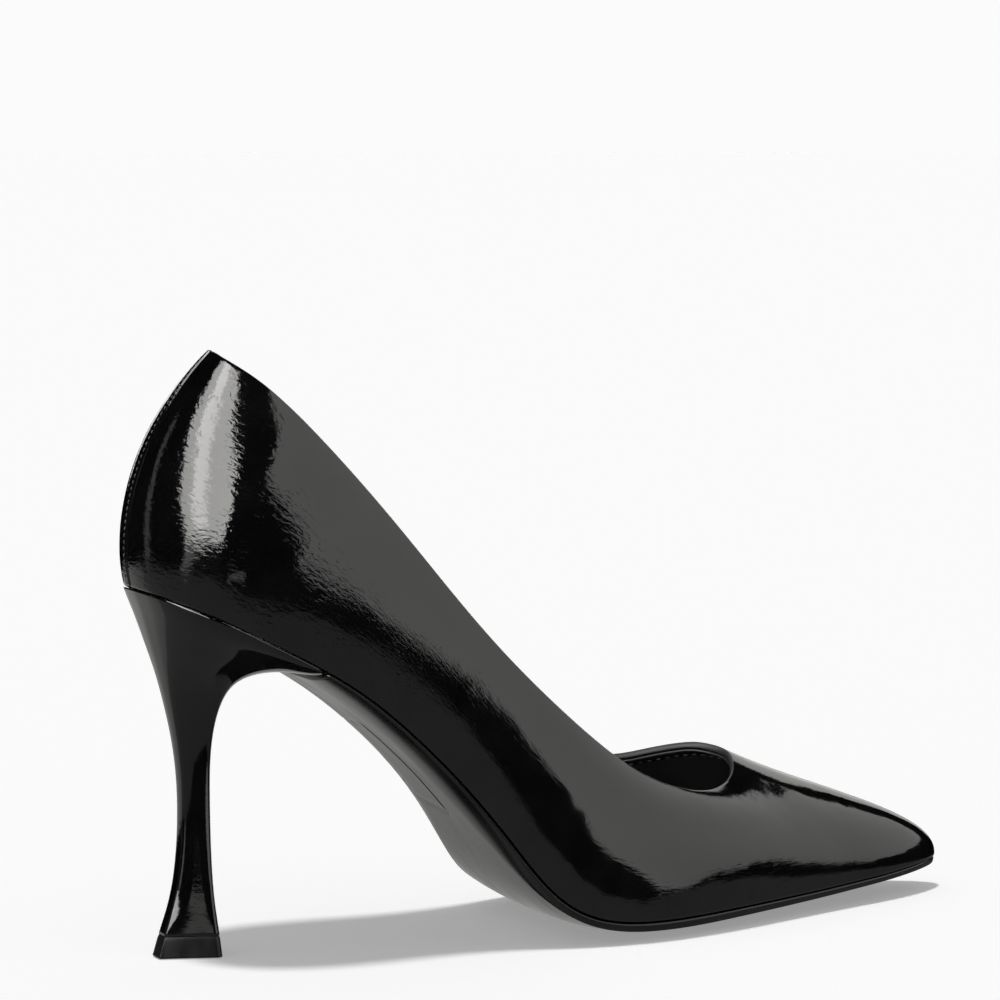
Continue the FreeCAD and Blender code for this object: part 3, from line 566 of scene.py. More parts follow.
def stitch_piece(name, spots, stitch):
    points = []
    faces = []
    for middle, along, normal in spots:
        new_points, new_faces = stitch_points(middle, along, normal, *stitch[1:])
        faces.extend(tuple(len(points) + corner for corner in face) for face in new_faces)
        points.extend(new_points)
    uvs = [(points[corner][0] * MM, points[corner][2] * MM) for face in faces for corner in face]
    return finish_mesh(name, np.array(points), faces, uvs)


def even_spots(points, normals, pitch, closed):
    """Places every pitch along a line of points: middle, direction, normal."""
    line = np.concatenate([points, points[:1]]) if closed else points
    ways = np.concatenate([normals, normals[:1]]) if closed else normals
    reach = running(np.linalg.norm(np.diff(line, axis=0), axis=1))
    count = int(reach[-1] / pitch)
    spots = []
    for i in range(count):
        at = (i + 0.5) * reach[-1] / count
        here, ahead, normal = [
            np.array([np.interp(place_on, reach, rows[:, k]) for k in range(3)])
            for place_on, rows in ((at, line), (at + 0.2, line), (at, ways))
        ]
        spots.append((here, unit(ahead - here), unit(normal)))
    return spots


def make_stitching(material):
    u = way_round(STITCH_LINE_RIBS)
    height = below_topline(u, FACING_HEIGHT - 0.75)[:, None]
    points, normals = wall(u, height, LINING_START + LINING_THICKNESS + 0.06)
    spots = even_spots(points[:, 0], -normals[:, 0], TOPLINE_STITCH[0], True)
    piece = stitch_piece("topline_stitches", spots, TOPLINE_STITCH)
    place(piece, "thread", material, "topline_stitching")
    v = np.linspace(0.02, 0.975, 160)[:, None]
    line_u = np.full(160, 1 - STITCH_FROM_EDGE / SEAM_LENGTH)
    points, normals = wall(line_u, v, -(SEAM_LAP - 0.12))
    spots = even_spots(points[:, 0], normals[:, 0], BACK_SEAM_STITCH[0], False)
    piece = stitch_piece("back_seam_stitches", spots, BACK_SEAM_STITCH)
    place(piece, "thread", material, "back_seam_stitching")


# ---------------- bottom pieces
def paired_sides(u_outer, u_inner, inset, count):
    """Points down both sides of the bottom that meet at the toe, as plan x, y."""
    part = np.sin(0.5 * np.pi * np.linspace(0.0, 1.0, count))
    sides = []
    for start in (u_outer, u_inner):
        u = start + (TOE_U - start) * part
        sides.append((seam_point(u) - outward(u) * inset)[:, :2])
    return sides


def panel_groove(xy):
    """Fine pressed line round the panel, as a rise of the underside."""
    depth = np.zeros(len(xy))
    for a, b in zip(PANEL, PANEL[1:] + PANEL[:1]):
        a, b = np.array(a), np.array(b)
        run = b - a
        part = np.clip(((xy - a) @ run) / (run @ run), 0.0, 1.0)
        gap = np.linalg.norm(xy - (a + part[:, None] * run), axis=1)
        depth = np.maximum(depth, PANEL_LINE * np.exp(-(gap / PANEL_LINE_WIDTH) ** 2))
    return depth


def sole_bulge(x, share):
    return crown_depth(x) * (1 - np.abs(2 * share - 1.0) ** 2.5)


def make_outsole(material):
    """Moulded outsole: thin rounded edge, curled waist with its pressed panel, domed ball."""
    outer, inner = paired_sides(u_at_seam_x(BREAST_X, -1), u_at_seam_x(BREAST_X, 1),
                                SOLE_INSET, SOLE_STATIONS)
    edge = np.linspace(0.0, 1.0, 14)
    curl = 0.75 * (1 - edge) ** 2 + 0.25 * (1 - np.sqrt(1 - (1 - edge) ** 2))
    middle = np.linspace(0.0, 1.0, SOLE_LANES)[1:-1]
    top_share = np.linspace(0.985, 0.015, 9)
    loops = []
    for a, b in zip(outer, inner):
        across = b - a
        width = max(float(np.linalg.norm(across)), 0.5)
        x = 0.5 * (a[0] + b[0])
        waist = 1 - smooth_step(x, WAIST_END, BALL_START)
        roll = min(EDGE_ROLL + (WAIST_ROLL - EDGE_ROLL) * waist, 0.32 * width) / width
        thick = sole_thickness(np.array(x)) + WAIST_BELLY * waist
        share = np.concatenate([roll * edge, roll + (1 - 2 * roll) * middle,
                                1 - roll * edge[::-1]])
        lift = np.concatenate([curl, 0 * middle, curl[::-1]]) * (thick - EDGE_LEVEL)
        xy = a + across * share[:, None]
        below = -thick - sole_bulge(x, share) + lift + panel_groove(xy)
        low = bottom_point(xy[:, 0], xy[:, 1], below)
        xy = a + across * top_share[:, None]
        high = bottom_point(xy[:, 0], xy[:, 1], -SOLE_TOP_GAP - sole_bulge(x, top_share))
        loops.append(np.concatenate([low, high]))
    piece = grid_piece("outsole_skin", np.array(loops), False)
    return place(piece, "sole", material, "outsole")


def sock_level(x):
    height = SOCK_LEVELS[0]
    for before, after, span in zip(SOCK_LEVELS, SOCK_LEVELS[1:], SOCK_CHANGES):
        height = height + (after - before) * smooth_step(x, *span)
    return height


def inner_edge(u):
    """Where the sock meets the lining: points on the inside of the wall at the sock's level."""
    v = np.broadcast_to(np.linspace(0.02, 0.45, 60)[None, :], (len(u), 60))
    points, _ = wall(u, v, LINING_START + LINING_THICKNESS + 0.05)
    gap = level_of(points) - sock_level(points[..., 0]) - 0.5
    spots = []
    for row, line in zip(gap, points):
        k = int(np.argmax(row > 0.0))
        part = -row[k - 1] / (row[k] - row[k - 1]) if k > 0 else 0.0
        spots.append(line[max(k - 1, 0)] * (1 - part) + line[k] * part)
    return np.array(spots)


def soft_plate(name, outer, inner, low_level, high_level, edge_rise):
    """Plate between two sides, with rounded rims and a slightly dished or crowned top."""
    lanes = np.sin(np.linspace(-0.5, 0.5, PLATE_LANES) * np.pi) * 0.5 + 0.5
    loops = []
    for a, b in zip(outer, inner):
        xy = a[:2] + (b - a)[:2] * lanes[:, None]
        away = np.abs(2 * lanes - 1.0)
        rim = 1 - away ** 14
        x = xy[:, 0]
        low, high = low_level(x), high_level(x)
        top = high + edge_rise * away ** 3 - 0.5 * (high - low) * (1 - rim)
        base = low + 0.5 * (high - low) * (1 - rim)
        loops.append(np.concatenate([bottom_point(x, xy[:, 1], top),
                                     bottom_point(x, xy[:, 1], base)[::-1]]))
    return grid_piece(name, np.array(loops), False)


def make_sock(material):
    part = 0.5 * (1 - np.cos(np.pi * np.linspace(0.004, 0.985, SOCK_STATIONS)))
    outer = inner_edge(TOE_U * part)
    inner = inner_edge(1 - (1 - TOE_U) * part)
    piece = soft_plate("sock_lining_leather", outer, inner, sock_level,
                       lambda x: sock_level(x) + SOCK_THICKNESS, 0.35)
    return place(piece, "sock", material, "sock_lining")


def make_pad(name, pad, material, node):
    """Foam pad under the sock, crowned and rounded at its rim."""
    x_start, x_end, inset, low, high = pad
    sides = []
    part = 0.5 * (1 - np.cos(np.pi * np.linspace(0, 1, PAD_STATIONS)))
    stations = x_start + (x_end - x_start) * part
    ends = np.clip(np.minimum(stations - x_start, x_end - stations) / PAD_END_ROUND, 0.02, 1.0)
    pull = np.sqrt(1 - (1 - ends) ** 2)
    for side in (-1, 1):
        u = side_of_seam(side, 1500)
        edge = seam_point(u) - outward(u) * inset
        y = np.interp(stations, edge[:, 0], edge[:, 1])
        sides.append(np.stack([stations, y * pull], 1))
    piece = soft_plate(name, sides[0], sides[1], lambda x: low + 0 * x,
                       lambda x: high + 0 * x, -0.25)
    place(piece, "foam", material, node)


# ---------------- heel
HEEL_RINGS = Spline(running([
    0.5 * (math.hypot(b[0] - a[0], b[1] - a[1]) + math.hypot(b[2] - a[2], b[3] - a[3]))
    for a, b in zip(HEEL_SECTIONS, HEEL_SECTIONS[1:])]), HEEL_SECTIONS)


def section_half_width(row, part, inset):
    """Half width of a heel section at shares of the way from its back to its breast."""
    back = np.maximum(0.8, row[:, 4:5] - 0.6 * inset)
    widest = row[:, 5:6] - inset
    breast = row[:, 6:7] - inset
    peak = np.clip(row[:, 7:8], 0.05, 0.999)
    power = np.maximum(row[:, 8:9], 1.0)
    inside = np.clip(1 - part / peak, 0.0, 1.0)
    rising = back + (widest - back) * (1 - inside ** power) ** (1 / power)
    share = np.clip((part - peak) / (1 - peak), 0.0, 1.0)
    return np.where(part < peak, rising, widest + (breast - widest) * share * share)


def heel_loop(t, inset):
    """Loops round the heel at each t, as rows of points, from the back round the outer side."""
    row = HEEL_RINGS(t)
    span = np.stack([row[:, 2] - row[:, 0], 0 * t, row[:, 3] - row[:, 1]], -1)
    size = np.linalg.norm(span, axis=1, keepdims=True)
    along = span / size
    start = np.stack([row[:, 0], 0 * t, row[:, 1]], -1) + along * inset
    run = size - 2 * inset
    part = np.broadcast_to(np.linspace(0.0, 1.0, SIDE_LANES) ** 1.6, (len(t), SIDE_LANES))
    half = section_half_width(row, part, inset)
    from_breast = (1 - part) * run
    near = np.clip(1 - from_breast / HEEL_EDGE_RADIUS, 0.0, 1.0)
    half = half - HEEL_EDGE_RADIUS * (1 - np.sqrt(1 - 0.92 * near ** 2))
    side = start[:, None, :] + along[:, None, :] * (run * part)[..., None]
    outer = side.copy()
    outer[..., 1] = -half
    inner = side[:, ::-1].copy()
    inner[..., 1] = half[:, ::-1]
    breast_share = np.linspace(-1.0, 1.0, BREAST_LANES + 2)[None, 1:-1]
    breast = np.repeat(side[:, -1:, :], BREAST_LANES, axis=1)
    breast[..., 1] = breast_share * half[:, -1:]
    back = np.repeat(side[:, :1, :], 3, axis=1)
    back[..., 1] = np.array([[0.5, 0.0, -0.5]]) * half[:, :1]
    back[..., 0] -= COUNTER_BACK_STEP
    return np.concatenate([outer, breast, inner, back], 1)


def heel_meridians(inset, rows):
    """Heel surface as meridian by row, from the top of the lift up to the seat."""
    first = HEEL_RINGS.knots[1]
    t = np.linspace(first, HEEL_RINGS.knots[-1], 500)
    loops = heel_loop(t, inset)
    level = level_of(loops)
    lines = []
    for q in range(loops.shape[1]):
        past = level[:, q] > -SEAT_GAP
        k = int(np.argmax(past)) if past.any() else len(t) - 1
        part = (-SEAT_GAP - level[k - 1, q]) / (level[k, q] - level[k - 1, q])
        top = t[k - 1] + (t[k] - t[k - 1]) * min(max(part, 0.0), 1.0)
        stops = np.linspace(first, top, rows)
        lines.append(np.stack([np.interp(stops, t, loops[:, q, i]) for i in range(3)], -1))
    return np.array(lines)


def make_heel_cover(material):
    outer = heel_meridians(0.0, HEEL_ROWS)
    inner = heel_meridians(COVER_THICKNESS, HEEL_ROWS)[:, ::-1]
    grid = np.concatenate([outer, inner], 1)
    return place(grid_piece("heel_cover_patent", grid, True), "patent", material, "heel_cover")


def make_top_lift(material):
    """Moulded lift: flared block with slightly rounded rims and a flat tread."""
    loops = heel_loop(np.linspace(0.0, HEEL_RINGS.knots[1], 9), 0.0)
    loops[..., 2] = np.minimum(loops[..., 2], LIFT_HEIGHT - 0.1)
    middle_x = 0.5 * (loops[0, :, 0].min() + loops[0, :, 0].max())

    def ring(k, inset, z):
        toward = -loops[k]
        toward[:, 0] += middle_x
        toward[:, 2] = 0.0
        spot = loops[k] + unit(toward) * inset
        spot[:, 2] = z
        return spot

    def middle_line(k, z):
        spot = loops[k].copy()
        spot[:, 1] = 0.0
        spot[:, 2] = z
        return spot

    rings = [middle_line(0, 0.0), ring(0, 1.2, 0.0), ring(0, 0.35, 0.0), ring(0, 0.1, 0.1),
             ring(0, 0.0, 0.35), *loops[1:8], ring(8, 0.0, LIFT_HEIGHT - 0.45),
             ring(8, 0.12, LIFT_HEIGHT - 0.15), ring(8, 0.4, LIFT_HEIGHT - 0.08),
             middle_line(8, LIFT_HEIGHT - 0.08)]
    piece = grid_piece("top_lift_rubber", np.stack(rings, 1), True, closed_section=False)
    return place(piece, "lift_rubber", material, "top_lift")


# ---------------- materials
class Look:
    """One procedural material, built node by node."""

    def __init__(self, name, colour, roughness, **constants):
        self.material = bpy.data.materials.new(name)
        self.material.use_nodes = True
        self.tree = self.material.node_tree
        self.shader = self.tree.nodes["Principled BSDF"]
        self.shader.inputs["Base Color"].default_value = (*colour, 1)
        self.shader.inputs["Roughness"].default_value = roughness
        for socket, value in constants.items():
            self.shader.inputs[socket.replace("_", " ")].default_value = value

    def node(self, kind, inputs=(), **settings):
        made = self.tree.nodes.new(kind)
        for key, value in settings.items():
            setattr(made, key, value)
        for key, value in dict(inputs).items():
            if isinstance(value, bpy.types.NodeSocket):
                self.tree.links.new(value, made.inputs[key])
            else:
                made.inputs[key].default_value = value
        return made

    def place(self, source, scale):
        """Texture position: source is UV or Object, scale is repeats per metre on each axis."""
        at = self.node("ShaderNodeTexCoord").outputs[source]
        return self.node("ShaderNodeMapping", {"Vector": at, "Scale": scale}).outputs["Vector"]

    def noise(self, at, scale=1, detail=2, roughness=0.5, distortion=0):
        inputs = {"Vector": at, "Scale": scale, "Detail": detail, "Roughness": roughness,
                  "Distortion": distortion}
        return self.node("ShaderNodeTexNoise", inputs).outputs["Fac"]

    def streaks(self, source, scale, *shape):
        """Noise drawn out by its scale; shape is detail, roughness, distortion."""
        return self.noise(self.place(source, scale), 1, *shape)

    def speckle(self, repeats, *shape):
        """Noise of one scale on all three axes, in repeats per metre."""
        return self.streaks("Object", (repeats,) * 3, *shape)

    def cells(self, at, scale=1, feature="F1"):
        made = self.node("ShaderNodeTexVoronoi", {"Vector": at, "Scale": scale}, feature=feature)
        return made.outputs["Distance"]

    def waves(self, at, scale, distortion=0, direction="X"):
        inputs = {"Vector": at, "Scale": scale, "Distortion": distortion}
        made = self.node("ShaderNodeTexWave", inputs, bands_direction=direction)
        return made.outputs["Fac"]

    def math(self, operation, a, b=0):
        return self.node("ShaderNodeMath", {0: a, 1: b}, operation=operation).outputs[0]

    def range(self, value, low, high, new_low=0, new_high=1):
        inputs = {"Value": value, "From Min": low, "From Max": high,
                  "To Min": new_low, "To Max": new_high}
        return self.node("ShaderNodeMapRange", inputs).outputs["Result"]

    def colours(self, factor, dark, light, low=0.3, high=0.7):
        """Base colour from dark, where the factor is low, to light, where it is high."""
        ramp = self.node("ShaderNodeValToRGB", {"Fac": factor})
        for element, position, colour in zip(ramp.color_ramp.elements, (low, high), (dark, light)):
            element.position = position
            element.color = (*colour, 1)
        self.tree.links.new(ramp.outputs["Color"], self.shader.inputs["Base Color"])

    def rough(self, value):
        self.tree.links.new(value, self.shader.inputs["Roughness"])

    def bump(self, *layers):
        """Layers of (height, depth in metres), stacked."""
        normal = None
        for height, depth in layers:
            inputs = {"Height": height, "Distance": depth, "Strength": 1.0}
            if normal is not None:
                inputs["Normal"] = normal
            normal = self.node("ShaderNodeBump", inputs).outputs["Normal"]
        self.tree.links.new(normal, self.shader.inputs["Normal"])


INK_ROUGHNESS = 0.5           # added to the film's own on a cut edge
PUCKER_FADE = (-0.095, -0.02, 1.0, 0.22)   # from x, to x in metres, and the strength at each


def patent_look(name, pucker_depth, wave_depth):
    """Black crinkled patent: clear glossy film with fine puckers, matt ink on its cut edges.

    The puckers are strongest round the counter and weaker towards the toe.
    """
    look = Look(name, (0.004, 0.004, 0.0045), 0.05, IOR=1.5)
    streaks = look.streaks("UV", (420, 1050, 1), 2.5, 0.55, 0.6)
    patches = look.speckle(55, 2)
    strength = look.range(patches, 0.38, 0.62, 0.25, 1)
    along = look.node("ShaderNodeSeparateXYZ", {0: look.place("Object", (1, 1, 1))})
    lasted = look.range(along.outputs["X"], *PUCKER_FADE)
    pucker = look.math("MULTIPLY", look.math("MULTIPLY", streaks, strength), lasted)
    soft = look.math("MULTIPLY", look.speckle(160, 2), lasted)
    pores = look.cells(look.place("UV", (1700, 2300, 1)))
    look.bump((soft, wave_depth), (pucker, pucker_depth), (pores, 1.5e-6))
    haze = look.speckle(90, 3)
    cut = look.node("ShaderNodeAttribute", attribute_name="cut_edge").outputs["Fac"]
    look.rough(look.math("ADD", look.range(haze, 0.3, 0.7, 0.035, 0.085),
                         look.math("MULTIPLY", cut, INK_ROUGHNESS)))
    look.colours(haze, (0.003, 0.003, 0.0034), (0.0055, 0.0055, 0.006))
    return look.material


def sole_look():
    """Satin moulded outsole with a fine grain and faint flow marks."""
    look = Look("outsole_satin", (0.007, 0.007, 0.0073), 0.2, IOR=1.4)
    grain = look.speckle(1500, 3)
    flow = look.streaks("Object", (35, 160, 60), 3, 0.5, 0.8)
    look.bump((flow, 1e-5), (grain, 4e-6))
    look.rough(look.range(flow, 0.3, 0.7, 0.17, 0.26))
    look.colours(flow, (0.006, 0.006, 0.0063), (0.01, 0.01, 0.0105))
    return look.material


def rubber_look():
    """Semi-matt moulded rubber of the top lift, a little scuffed."""
    look = Look("lift_rubber_black", (0.006, 0.006, 0.006), 0.32, Specular_IOR_Level=0.28)
    grain = look.speckle(2600, 3)
    scuff = look.streaks("Object", (300, 300, 90), 4)
    look.bump((scuff, 2e-5), (grain, 1e-5))
    look.rough(look.range(scuff, 0.3, 0.7, 0.26, 0.42))
    look.colours(scuff, (0.005, 0.005, 0.005), (0.012, 0.012, 0.012), 0.3, 0.75)
    return look.material


def leather_look(name, dark, light, grain_per_metre):
    """Matt lining leather: pebbled grain with darker creases."""
    look = Look(name, dark, 0.5, Specular_IOR_Level=0.35)
    at = look.place("Object", (grain_per_metre,) * 3)
    pebbles = look.cells(at, 1, "SMOOTH_F1")
    pores = look.noise(at, 4, 2)
    tone = look.speckle(60, 3)
    look.bump((pebbles, 1.2e-4), (pores, 2.5e-5))
    look.rough(look.range(pebbles, 0, 0.8, 0.42, 0.6))
    look.colours(tone, dark, light)
    return look.material


def suede_look():
    """Short black nap of the heel grip."""
    look = Look("heel_grip_suede_black", (0.012, 0.0115, 0.0115), 0.9,
                Specular_IOR_Level=0.15, Sheen_Weight=0.35, Sheen_Roughness=0.5)
    nap = look.streaks("UV", (2400, 900, 1), 4, 0.7)
    brushed = look.speckle(140, 3, 0.6, 1)
    look.bump((brushed, 8e-5), (nap, 1e-4))
    look.colours(brushed, (0.007, 0.0065, 0.0065), (0.02, 0.019, 0.019))
    return look.material


def woven_look(name, dark, light, threads_per_metre, roughness=0.8):
    """Plain weave: two sets of crossing threads."""
    look = Look(name, dark, roughness, Specular_IOR_Level=0.25, Sheen_Weight=0.1)
    at = look.place("UV", (threads_per_metre, threads_per_metre, 1))
    warp = look.waves(at, 0.16, 0.6, "X")
    weft = look.waves(at, 0.16, 0.6, "Y")
    weave = look.math("MAXIMUM", warp, weft)
    fuzz = look.speckle(1800, 3)
    look.bump((weave, 9e-5), (fuzz, 3e-5))
    look.colours(weave, dark, light, 0.25, 0.9)
    return look.material


def thread_look():
    """Twisted filament thread: fine slanted strands."""
    look = Look("thread_black_twist", (0.03, 0.03, 0.03), 0.42, Sheen_Weight=0.1)
    twist = look.waves(look.place("Object", (1, 1, 1)), 620, 0.5, "DIAGONAL")
    look.bump((twist, 4e-5))
    look.colours(twist, (0.015, 0.015, 0.015), (0.06, 0.06, 0.062), 0.2, 0.8)
    return look.material


def board_look():
    """Pressed fibre board."""
    look = Look("fibre_board_brown", (0.3, 0.21, 0.13), 0.85)
    fibres = look.streaks("Object", (260, 1500, 900), 4, 0.65)
    flecks = look.speckle(700, 3)
    look.bump((fibres, 6e-5), (flecks, 3e-5))
    look.colours(fibres, (0.2, 0.13, 0.08), (0.42, 0.31, 0.2))
    return look.material


def steel_look(name, tone, lines):
    """Rolled steel with drawing lines and a little oxide."""
    look = Look(name, (tone, tone, tone), 0.32, Metallic=1)
    rolled = look.streaks("Object", lines, 3)
    oxide = look.speckle(150, 4)
    look.bump((rolled, 1e-5))
    look.rough(look.range(rolled, 0.3, 0.7, 0.24, 0.42))
    look.colours(oxide, (tone * 0.8, tone * 0.78, tone * 0.75), (tone, tone, tone), 0.35, 0.7)
    return look.material


def cork_look():
    """Granulated cork in binder."""
    look = Look("cork_granules", (0.36, 0.22, 0.12), 0.85)
    at = look.place("Object", (520, 520, 520))
    grains = look.cells(at)
    tone = look.noise(at, 1.6, 2)
    look.bump((grains, 2e-4))
    look.colours(tone, (0.2, 0.11, 0.05), (0.52, 0.34, 0.2))
    return look.material


def foam_look():
    """Open-cell foam."""
    look = Look("foam_cream", (0.72, 0.66, 0.5), 0.9, Specular_IOR_Level=0.2)
    pores = look.cells(look.place("Object", (1300, 1300, 1300)))
    tone = look.speckle(90, 2)
    look.bump((pores, 2e-4))
    look.colours(tone, (0.66, 0.6, 0.44), (0.78, 0.72, 0.56))
    return look.material


def plastic_look(name, dark, light, roughness):
    """Moulded plastic with a faint spark-eroded grain."""
    look = Look(name, dark, roughness)
    grain = look.speckle(1600, 2)
    flow = look.streaks("Object", (60, 60, 140), 3, 0.5, 1)
    look.bump((grain, 1.5e-5), (flow, 2e-5))
    look.rough(look.range(grain, 0.3, 0.7, roughness - 0.06, roughness + 0.08))
    look.colours(flow, dark, light)
    return look.material


def make_looks():
    return {
        "patent": patent_look("patent_black_crinkle", 1.2e-4, 6e-5),
        "patent_heel": patent_look("patent_black_heel", 1.2e-5, 1.2e-5),
        "interlining": woven_look("interlining_cotton", (0.42, 0.4, 0.35), (0.62, 0.6, 0.54),
                                  9000),
        "stiffener": plastic_look("stiffener_sheet", (0.55, 0.53, 0.47), (0.66, 0.64, 0.58), 0.6),
        "tape": woven_look("topline_tape_cotton", (0.66, 0.65, 0.6), (0.84, 0.83, 0.79), 9000),
        "thread": thread_look(),
        "lining_cloth": woven_look("vamp_lining_black", (0.008, 0.008, 0.009),
                                   (0.026, 0.026, 0.028),
                                   13000),
        "lining": leather_look("quarter_lining_black", (0.012, 0.0115, 0.0115),
                               (0.024, 0.023, 0.023), 900),
        "suede": suede_look(),
        "board": board_look(),
        "shank_steel": steel_look("shank_steel_rolled", 0.42, (120, 3000, 3000)),
        "rivet_steel": steel_look("rivet_steel_plated", 0.62, (900, 900, 900)),
        "cork": cork_look(),
        "foam": foam_look(),
        "sock": leather_look("sock_lining_black", (0.012, 0.0115, 0.0115), (0.022, 0.021, 0.021),
                             1200),
        "sole": sole_look(),
        "heel_abs": plastic_look("heel_plastic", (0.06, 0.06, 0.06), (0.1, 0.1, 0.1), 0.45),
        "tube_steel": steel_look("tube_steel_drawn", 0.5, (2500, 2500, 120)),
        "lift_rubber": rubber_look(),
    }


def dress_cad_nodes(looks):
    """The hidden structural CAD nodes keep their shape and take their slot's material."""
    slots = {part["node"]: part["material_slot"] for part in frame["record"]["subparts"]}
    for name, node in NODES.items():
        node.data.materials.clear()
        node.data.materials.append(looks[slots[name]])


# ---------------- camera, floor and light
CAMERA_PLACE = (-0.5004, -1.0190, 0.2303)
CAMERA_AHEAD = (0.42815, 0.89764, -0.10453)
CAMERA_LENS = 158.15          # mm
CAMERA_SENSOR = 36.0          # mm
CAMERA_CLIP = 0.05
SHOE_MIDDLE = Vector((0.0, 0.0, 0.06))
STAGE_REACH = 8.0             # m
FLOOR_GAP = 0.0002            # keeps the floor off the flat underside of the lift
BACKDROP = 0.965              # brightness of the backdrop and the unshaded floor
CARD_COLOUR = (1.0, 0.995, 0.97)
CARD_DISTANCE = 2.2           # from the shoe
CARD_GRID = (31, 80)          # points across and up
DOME_GRID = (48, 16)
FLOOR_TONE = 0.9
SKY_STRENGTH = 0.2
SUN_STRENGTH = 1.75
SUN_SIZE = 6.0                # degrees across, for soft shadow edges
SUN_TILT = 8.0                # degrees, leaning towards the toe


# Panels: name, borders from low to high, strengths, distance if not the usual one
CARDS = (
    # tall and bright behind the heel on the outer side, with a brighter core
    ("card_counter", ((2.5, -160, -124), (30, -178, -117), (56, -199, -129), (76, -215, -134)),
     (7, 8.5)),
    ("card_counter_core", ((8, -152, -140), (30, -163, -146), (56, -180, -156), (74, -196, -168)),
     (13, 12), 2.1),
    ("card_counter_foot", ((-9, -166, -158), (1, -160, -144)), (1.4, 1)),
    ("card_back", ((-8, 150, 158), (17, 141, 148), (32, 134, 140)), (0.5, 0.5)),
    # broad and dim along the outer side, one beyond the toe and one on the inner side
    ("card_side", ((-17, -52, -44), (-13, -60, -37), (-9, -70, -31), (-6, -76, -27),
                   (-3, -74.5, -23), (0, -73, -18), (3, -72, -12), (6, -74, -5), (10, -77, 5),
                   (14, -79, 12), (20, -84, 17), (29, -88, 22), (31, -86, 31), (33, -84, 24),
                   (36, -80, 18), (40, -73, 18), (48, -62, 17), (62, -50, 14)), (1.75, 1.25)),
    ("card_toe", ((0, 38, 50), (34, 38, 50)), (1.2, 1)),
    ("card_inner_side", ((0, 50, 88), (58, 50, 88)), (1.2, 1.6)),
    # small and low, close to the heel's foot
    ("card_heel", ((-9, -126, -112), (-6.5, -126, -112)), (0.9, 0.9), 0.545),
    # the pale floor as the patent mirrors it
    ("card_floor_outer", ((-89, -220, -60), (-24, -220, -60), (-20, -220, -105),
                          (-13, -220, -128), (-9.5, -220, -160)), (0.3, 0.25)),
    ("card_floor_toe", ((-89, -60, 40), (-23, -60, 40), (-19, -48, 40), (-14, -30, 40)),
     (0.25, 0.15)),
    ("card_floor_inner", ((-41, 40, 140), (-9, 40, 140)), (0.52, 0.52)),
)


def make_camera():
    lens = bpy.data.cameras.new("camera")
    lens.lens = CAMERA_LENS
    lens.sensor_width = CAMERA_SENSOR
    lens.clip_start = CAMERA_CLIP
    camera = add_object("camera", lens)
    back = -Vector(CAMERA_AHEAD).normalized()
    right = Vector((0.0, 0.0, 1.0)).cross(back).normalized()
    up = back.cross(right)
    turn = Matrix((right, up, back)).transposed().to_4x4()
    camera.matrix_world = Matrix.Translation(CAMERA_PLACE) @ turn
    bpy.context.scene.camera = camera


def stage_mesh(name, corners, faces):
    mesh = bpy.data.meshes.new(name)
    mesh.from_pydata(corners, [], faces)
    made = add_object(name, mesh)
    return made


def make_floor():
    """Pale floor, seen by the camera and lit softly, but not mirrored in the patent.

    Its own faint glow makes the unshaded floor exactly as bright as the backdrop.
    """
    corners = [(x * STAGE_REACH, y * STAGE_REACH, -FLOOR_GAP)
               for x, y in ((-1, -1), (1, -1), (1, 1), (-1, 1))]
    floor = stage_mesh("floor", corners, [(0, 1, 2, 3)])
    look = Look("floor_pale", (FLOOR_TONE,) * 3, 0.9, Specular_IOR_Level=0.0)
    look.shader.inputs["Emission Color"].default_value = (1.0, 1.0, 1.0, 1.0)
    lit = FLOOR_TONE * (SKY_STRENGTH + SUN_STRENGTH / math.pi)
    look.shader.inputs["Emission Strength"].default_value = BACKDROP - lit
    floor.data.materials.append(look.material)
    floor.visible_glossy = False


def glow_look(name, colour=(1.0, 1.0, 1.0), strength=1.0, strength_layer=None):
    """Plain light; a strength layer on the mesh can vary it smoothly."""
    material = bpy.data.materials.new(name)
    material.use_nodes = True
    tree = material.node_tree
    tree.nodes.clear()
    light = tree.nodes.new("ShaderNodeEmission")
    light.inputs["Color"].default_value = (*colour, 1.0)
    light.inputs["Strength"].default_value = strength
    if strength_layer:
        layer = tree.nodes.new("ShaderNodeAttribute")
        layer.attribute_name = strength_layer
        tree.links.new(layer.outputs["Fac"], light.inputs["Strength"])
    output = tree.nodes.new("ShaderNodeOutputMaterial")
    tree.links.new(light.outputs[0], output.inputs[0])
    return material


def direction(azimuth, elevation):
    """Direction from the shoe: azimuth 0 is +X (toe), 90 is +Y (inner side), -90 the outer side."""
    a, e = math.radians(azimuth), math.radians(elevation)
    return Vector((math.cos(a) * math.cos(e), math.sin(a) * math.cos(e), math.sin(e)))


def show_only_to(thing, *rays):
    for ray in ("camera", "diffuse", "glossy", "transmission", "shadow"):
        setattr(thing, "visible_" + ray, ray in rays)


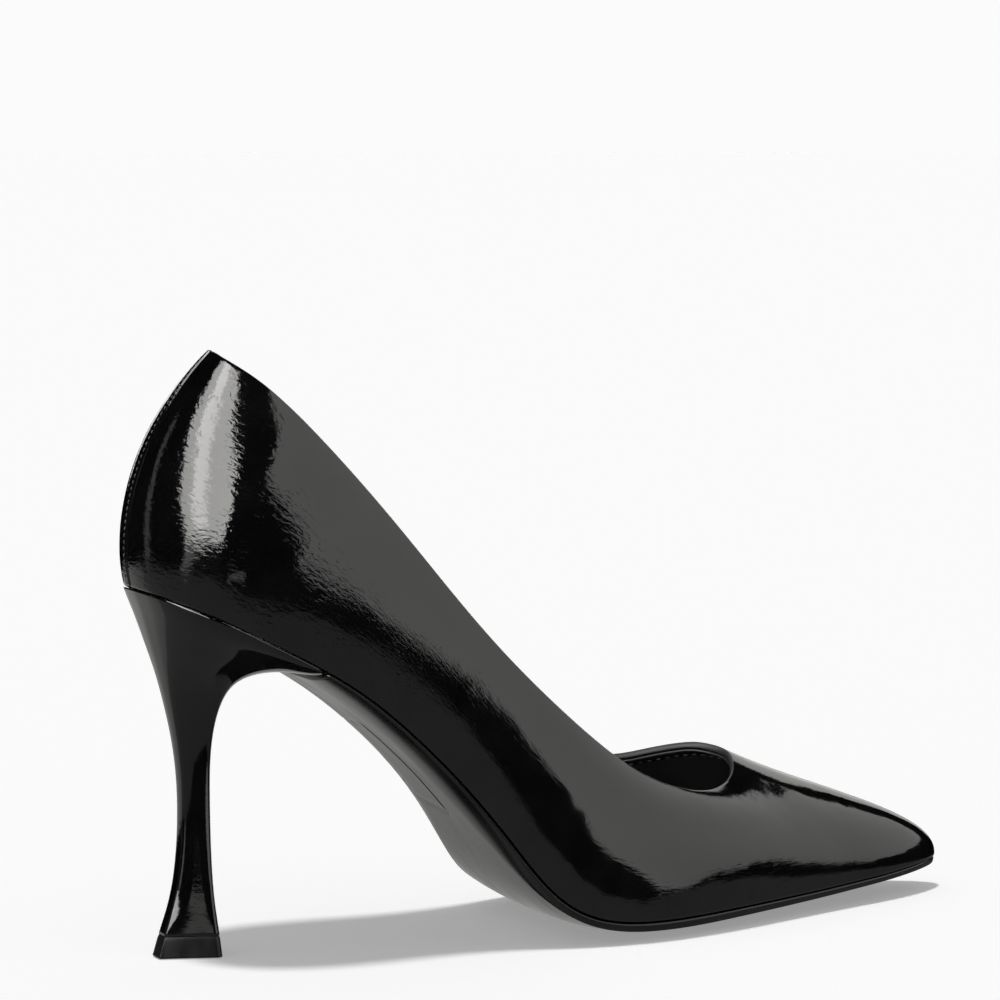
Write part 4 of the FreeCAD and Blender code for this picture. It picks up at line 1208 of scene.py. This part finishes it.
def make_card(name, borders, strengths, distance=CARD_DISTANCE):
    """Curved soft panel that only reflections see.

    Borders are (elevation, first azimuth, last azimuth), from its lower edge to its upper edge.
    Strengths are at its first and last azimuths.
    """
    across, tall = CARD_GRID
    heights, lefts, rights = [np.array(column, float) for column in zip(*borders)]
    corners = []
    glow = []
    for j in range(tall):
        elevation = heights[0] + (heights[-1] - heights[0]) * j / (tall - 1)
        left = np.interp(elevation, heights, lefts)
        right = np.interp(elevation, heights, rights)
        for i in range(across):
            azimuth = left + (right - left) * i / (across - 1)
            corners.append(SHOE_MIDDLE + direction(azimuth, elevation) * distance)
            glow.append(strengths[0] + (strengths[1] - strengths[0]) * i / (across - 1))
    card = stage_mesh(name, corners, grid_faces(tall, across, False))
    card.data.attributes.new("glow", "FLOAT", "POINT").data.foreach_set("value", glow)
    card.data.materials.append(glow_look(name + "_glow", CARD_COLOUR, strength_layer="glow"))
    show_only_to(card, "glossy")


def make_backdrop():
    """Plain pale dome behind everything, for the camera only."""
    dome = stage_mesh("backdrop", *dome_shape(STAGE_REACH * 0.98))
    dome.data.materials.append(glow_look("backdrop_glow", strength=BACKDROP))
    show_only_to(dome, "camera")


def dome_shape(radius):
    across, tall = DOME_GRID
    corners = []
    for j in range(tall):
        elevation = -2 + 92 * j / (tall - 1)
        for i in range(across):
            corners.append(direction(360 * i / across, elevation) * radius)
    return corners, grid_faces(tall, across, True)


def make_sky():
    world = bpy.data.worlds.new("studio")
    bpy.context.scene.world = world
    world.use_nodes = True
    background = world.node_tree.nodes["Background"]
    background.inputs["Color"].default_value = (1.0, 1.0, 1.0, 1.0)
    background.inputs["Strength"].default_value = SKY_STRENGTH
    world.cycles_visibility.glossy = False
    world.cycles_visibility.camera = False
    lamp = bpy.data.lights.new("overhead", "SUN")
    lamp.energy = SUN_STRENGTH
    lamp.angle = math.radians(SUN_SIZE)
    overhead = add_object("overhead", lamp)
    overhead.rotation_euler = (0.0, math.radians(-SUN_TILT), 0.0)
    overhead.visible_glossy = False


def make_stage():
    bpy.context.scene.view_settings.view_transform = "Standard"
    make_floor()
    make_backdrop()
    make_sky()
    for name, borders, strengths, *distance in CARDS:
        make_card(name, borders, strengths, *distance)


# ---------------- assembly
looks = make_looks()
dress_cad_nodes(looks)
make_upper(looks["patent"])
make_facing(looks["patent"])
make_tape(looks["tape"])
make_linings(looks["lining"], looks["lining_cloth"], looks["suede"])
make_stitching(looks["thread"])
make_outsole(looks["sole"])
make_sock(looks["sock"])
make_pad("heel_pad_foam", HEEL_PAD, looks["foam"], "heel_pad")
make_pad("forefoot_pad_foam", FOREFOOT_PAD, looks["foam"], "forefoot_pad")
make_heel_cover(looks["patent_heel"])
make_top_lift(looks["lift_rubber"])
make_camera()
make_stage()
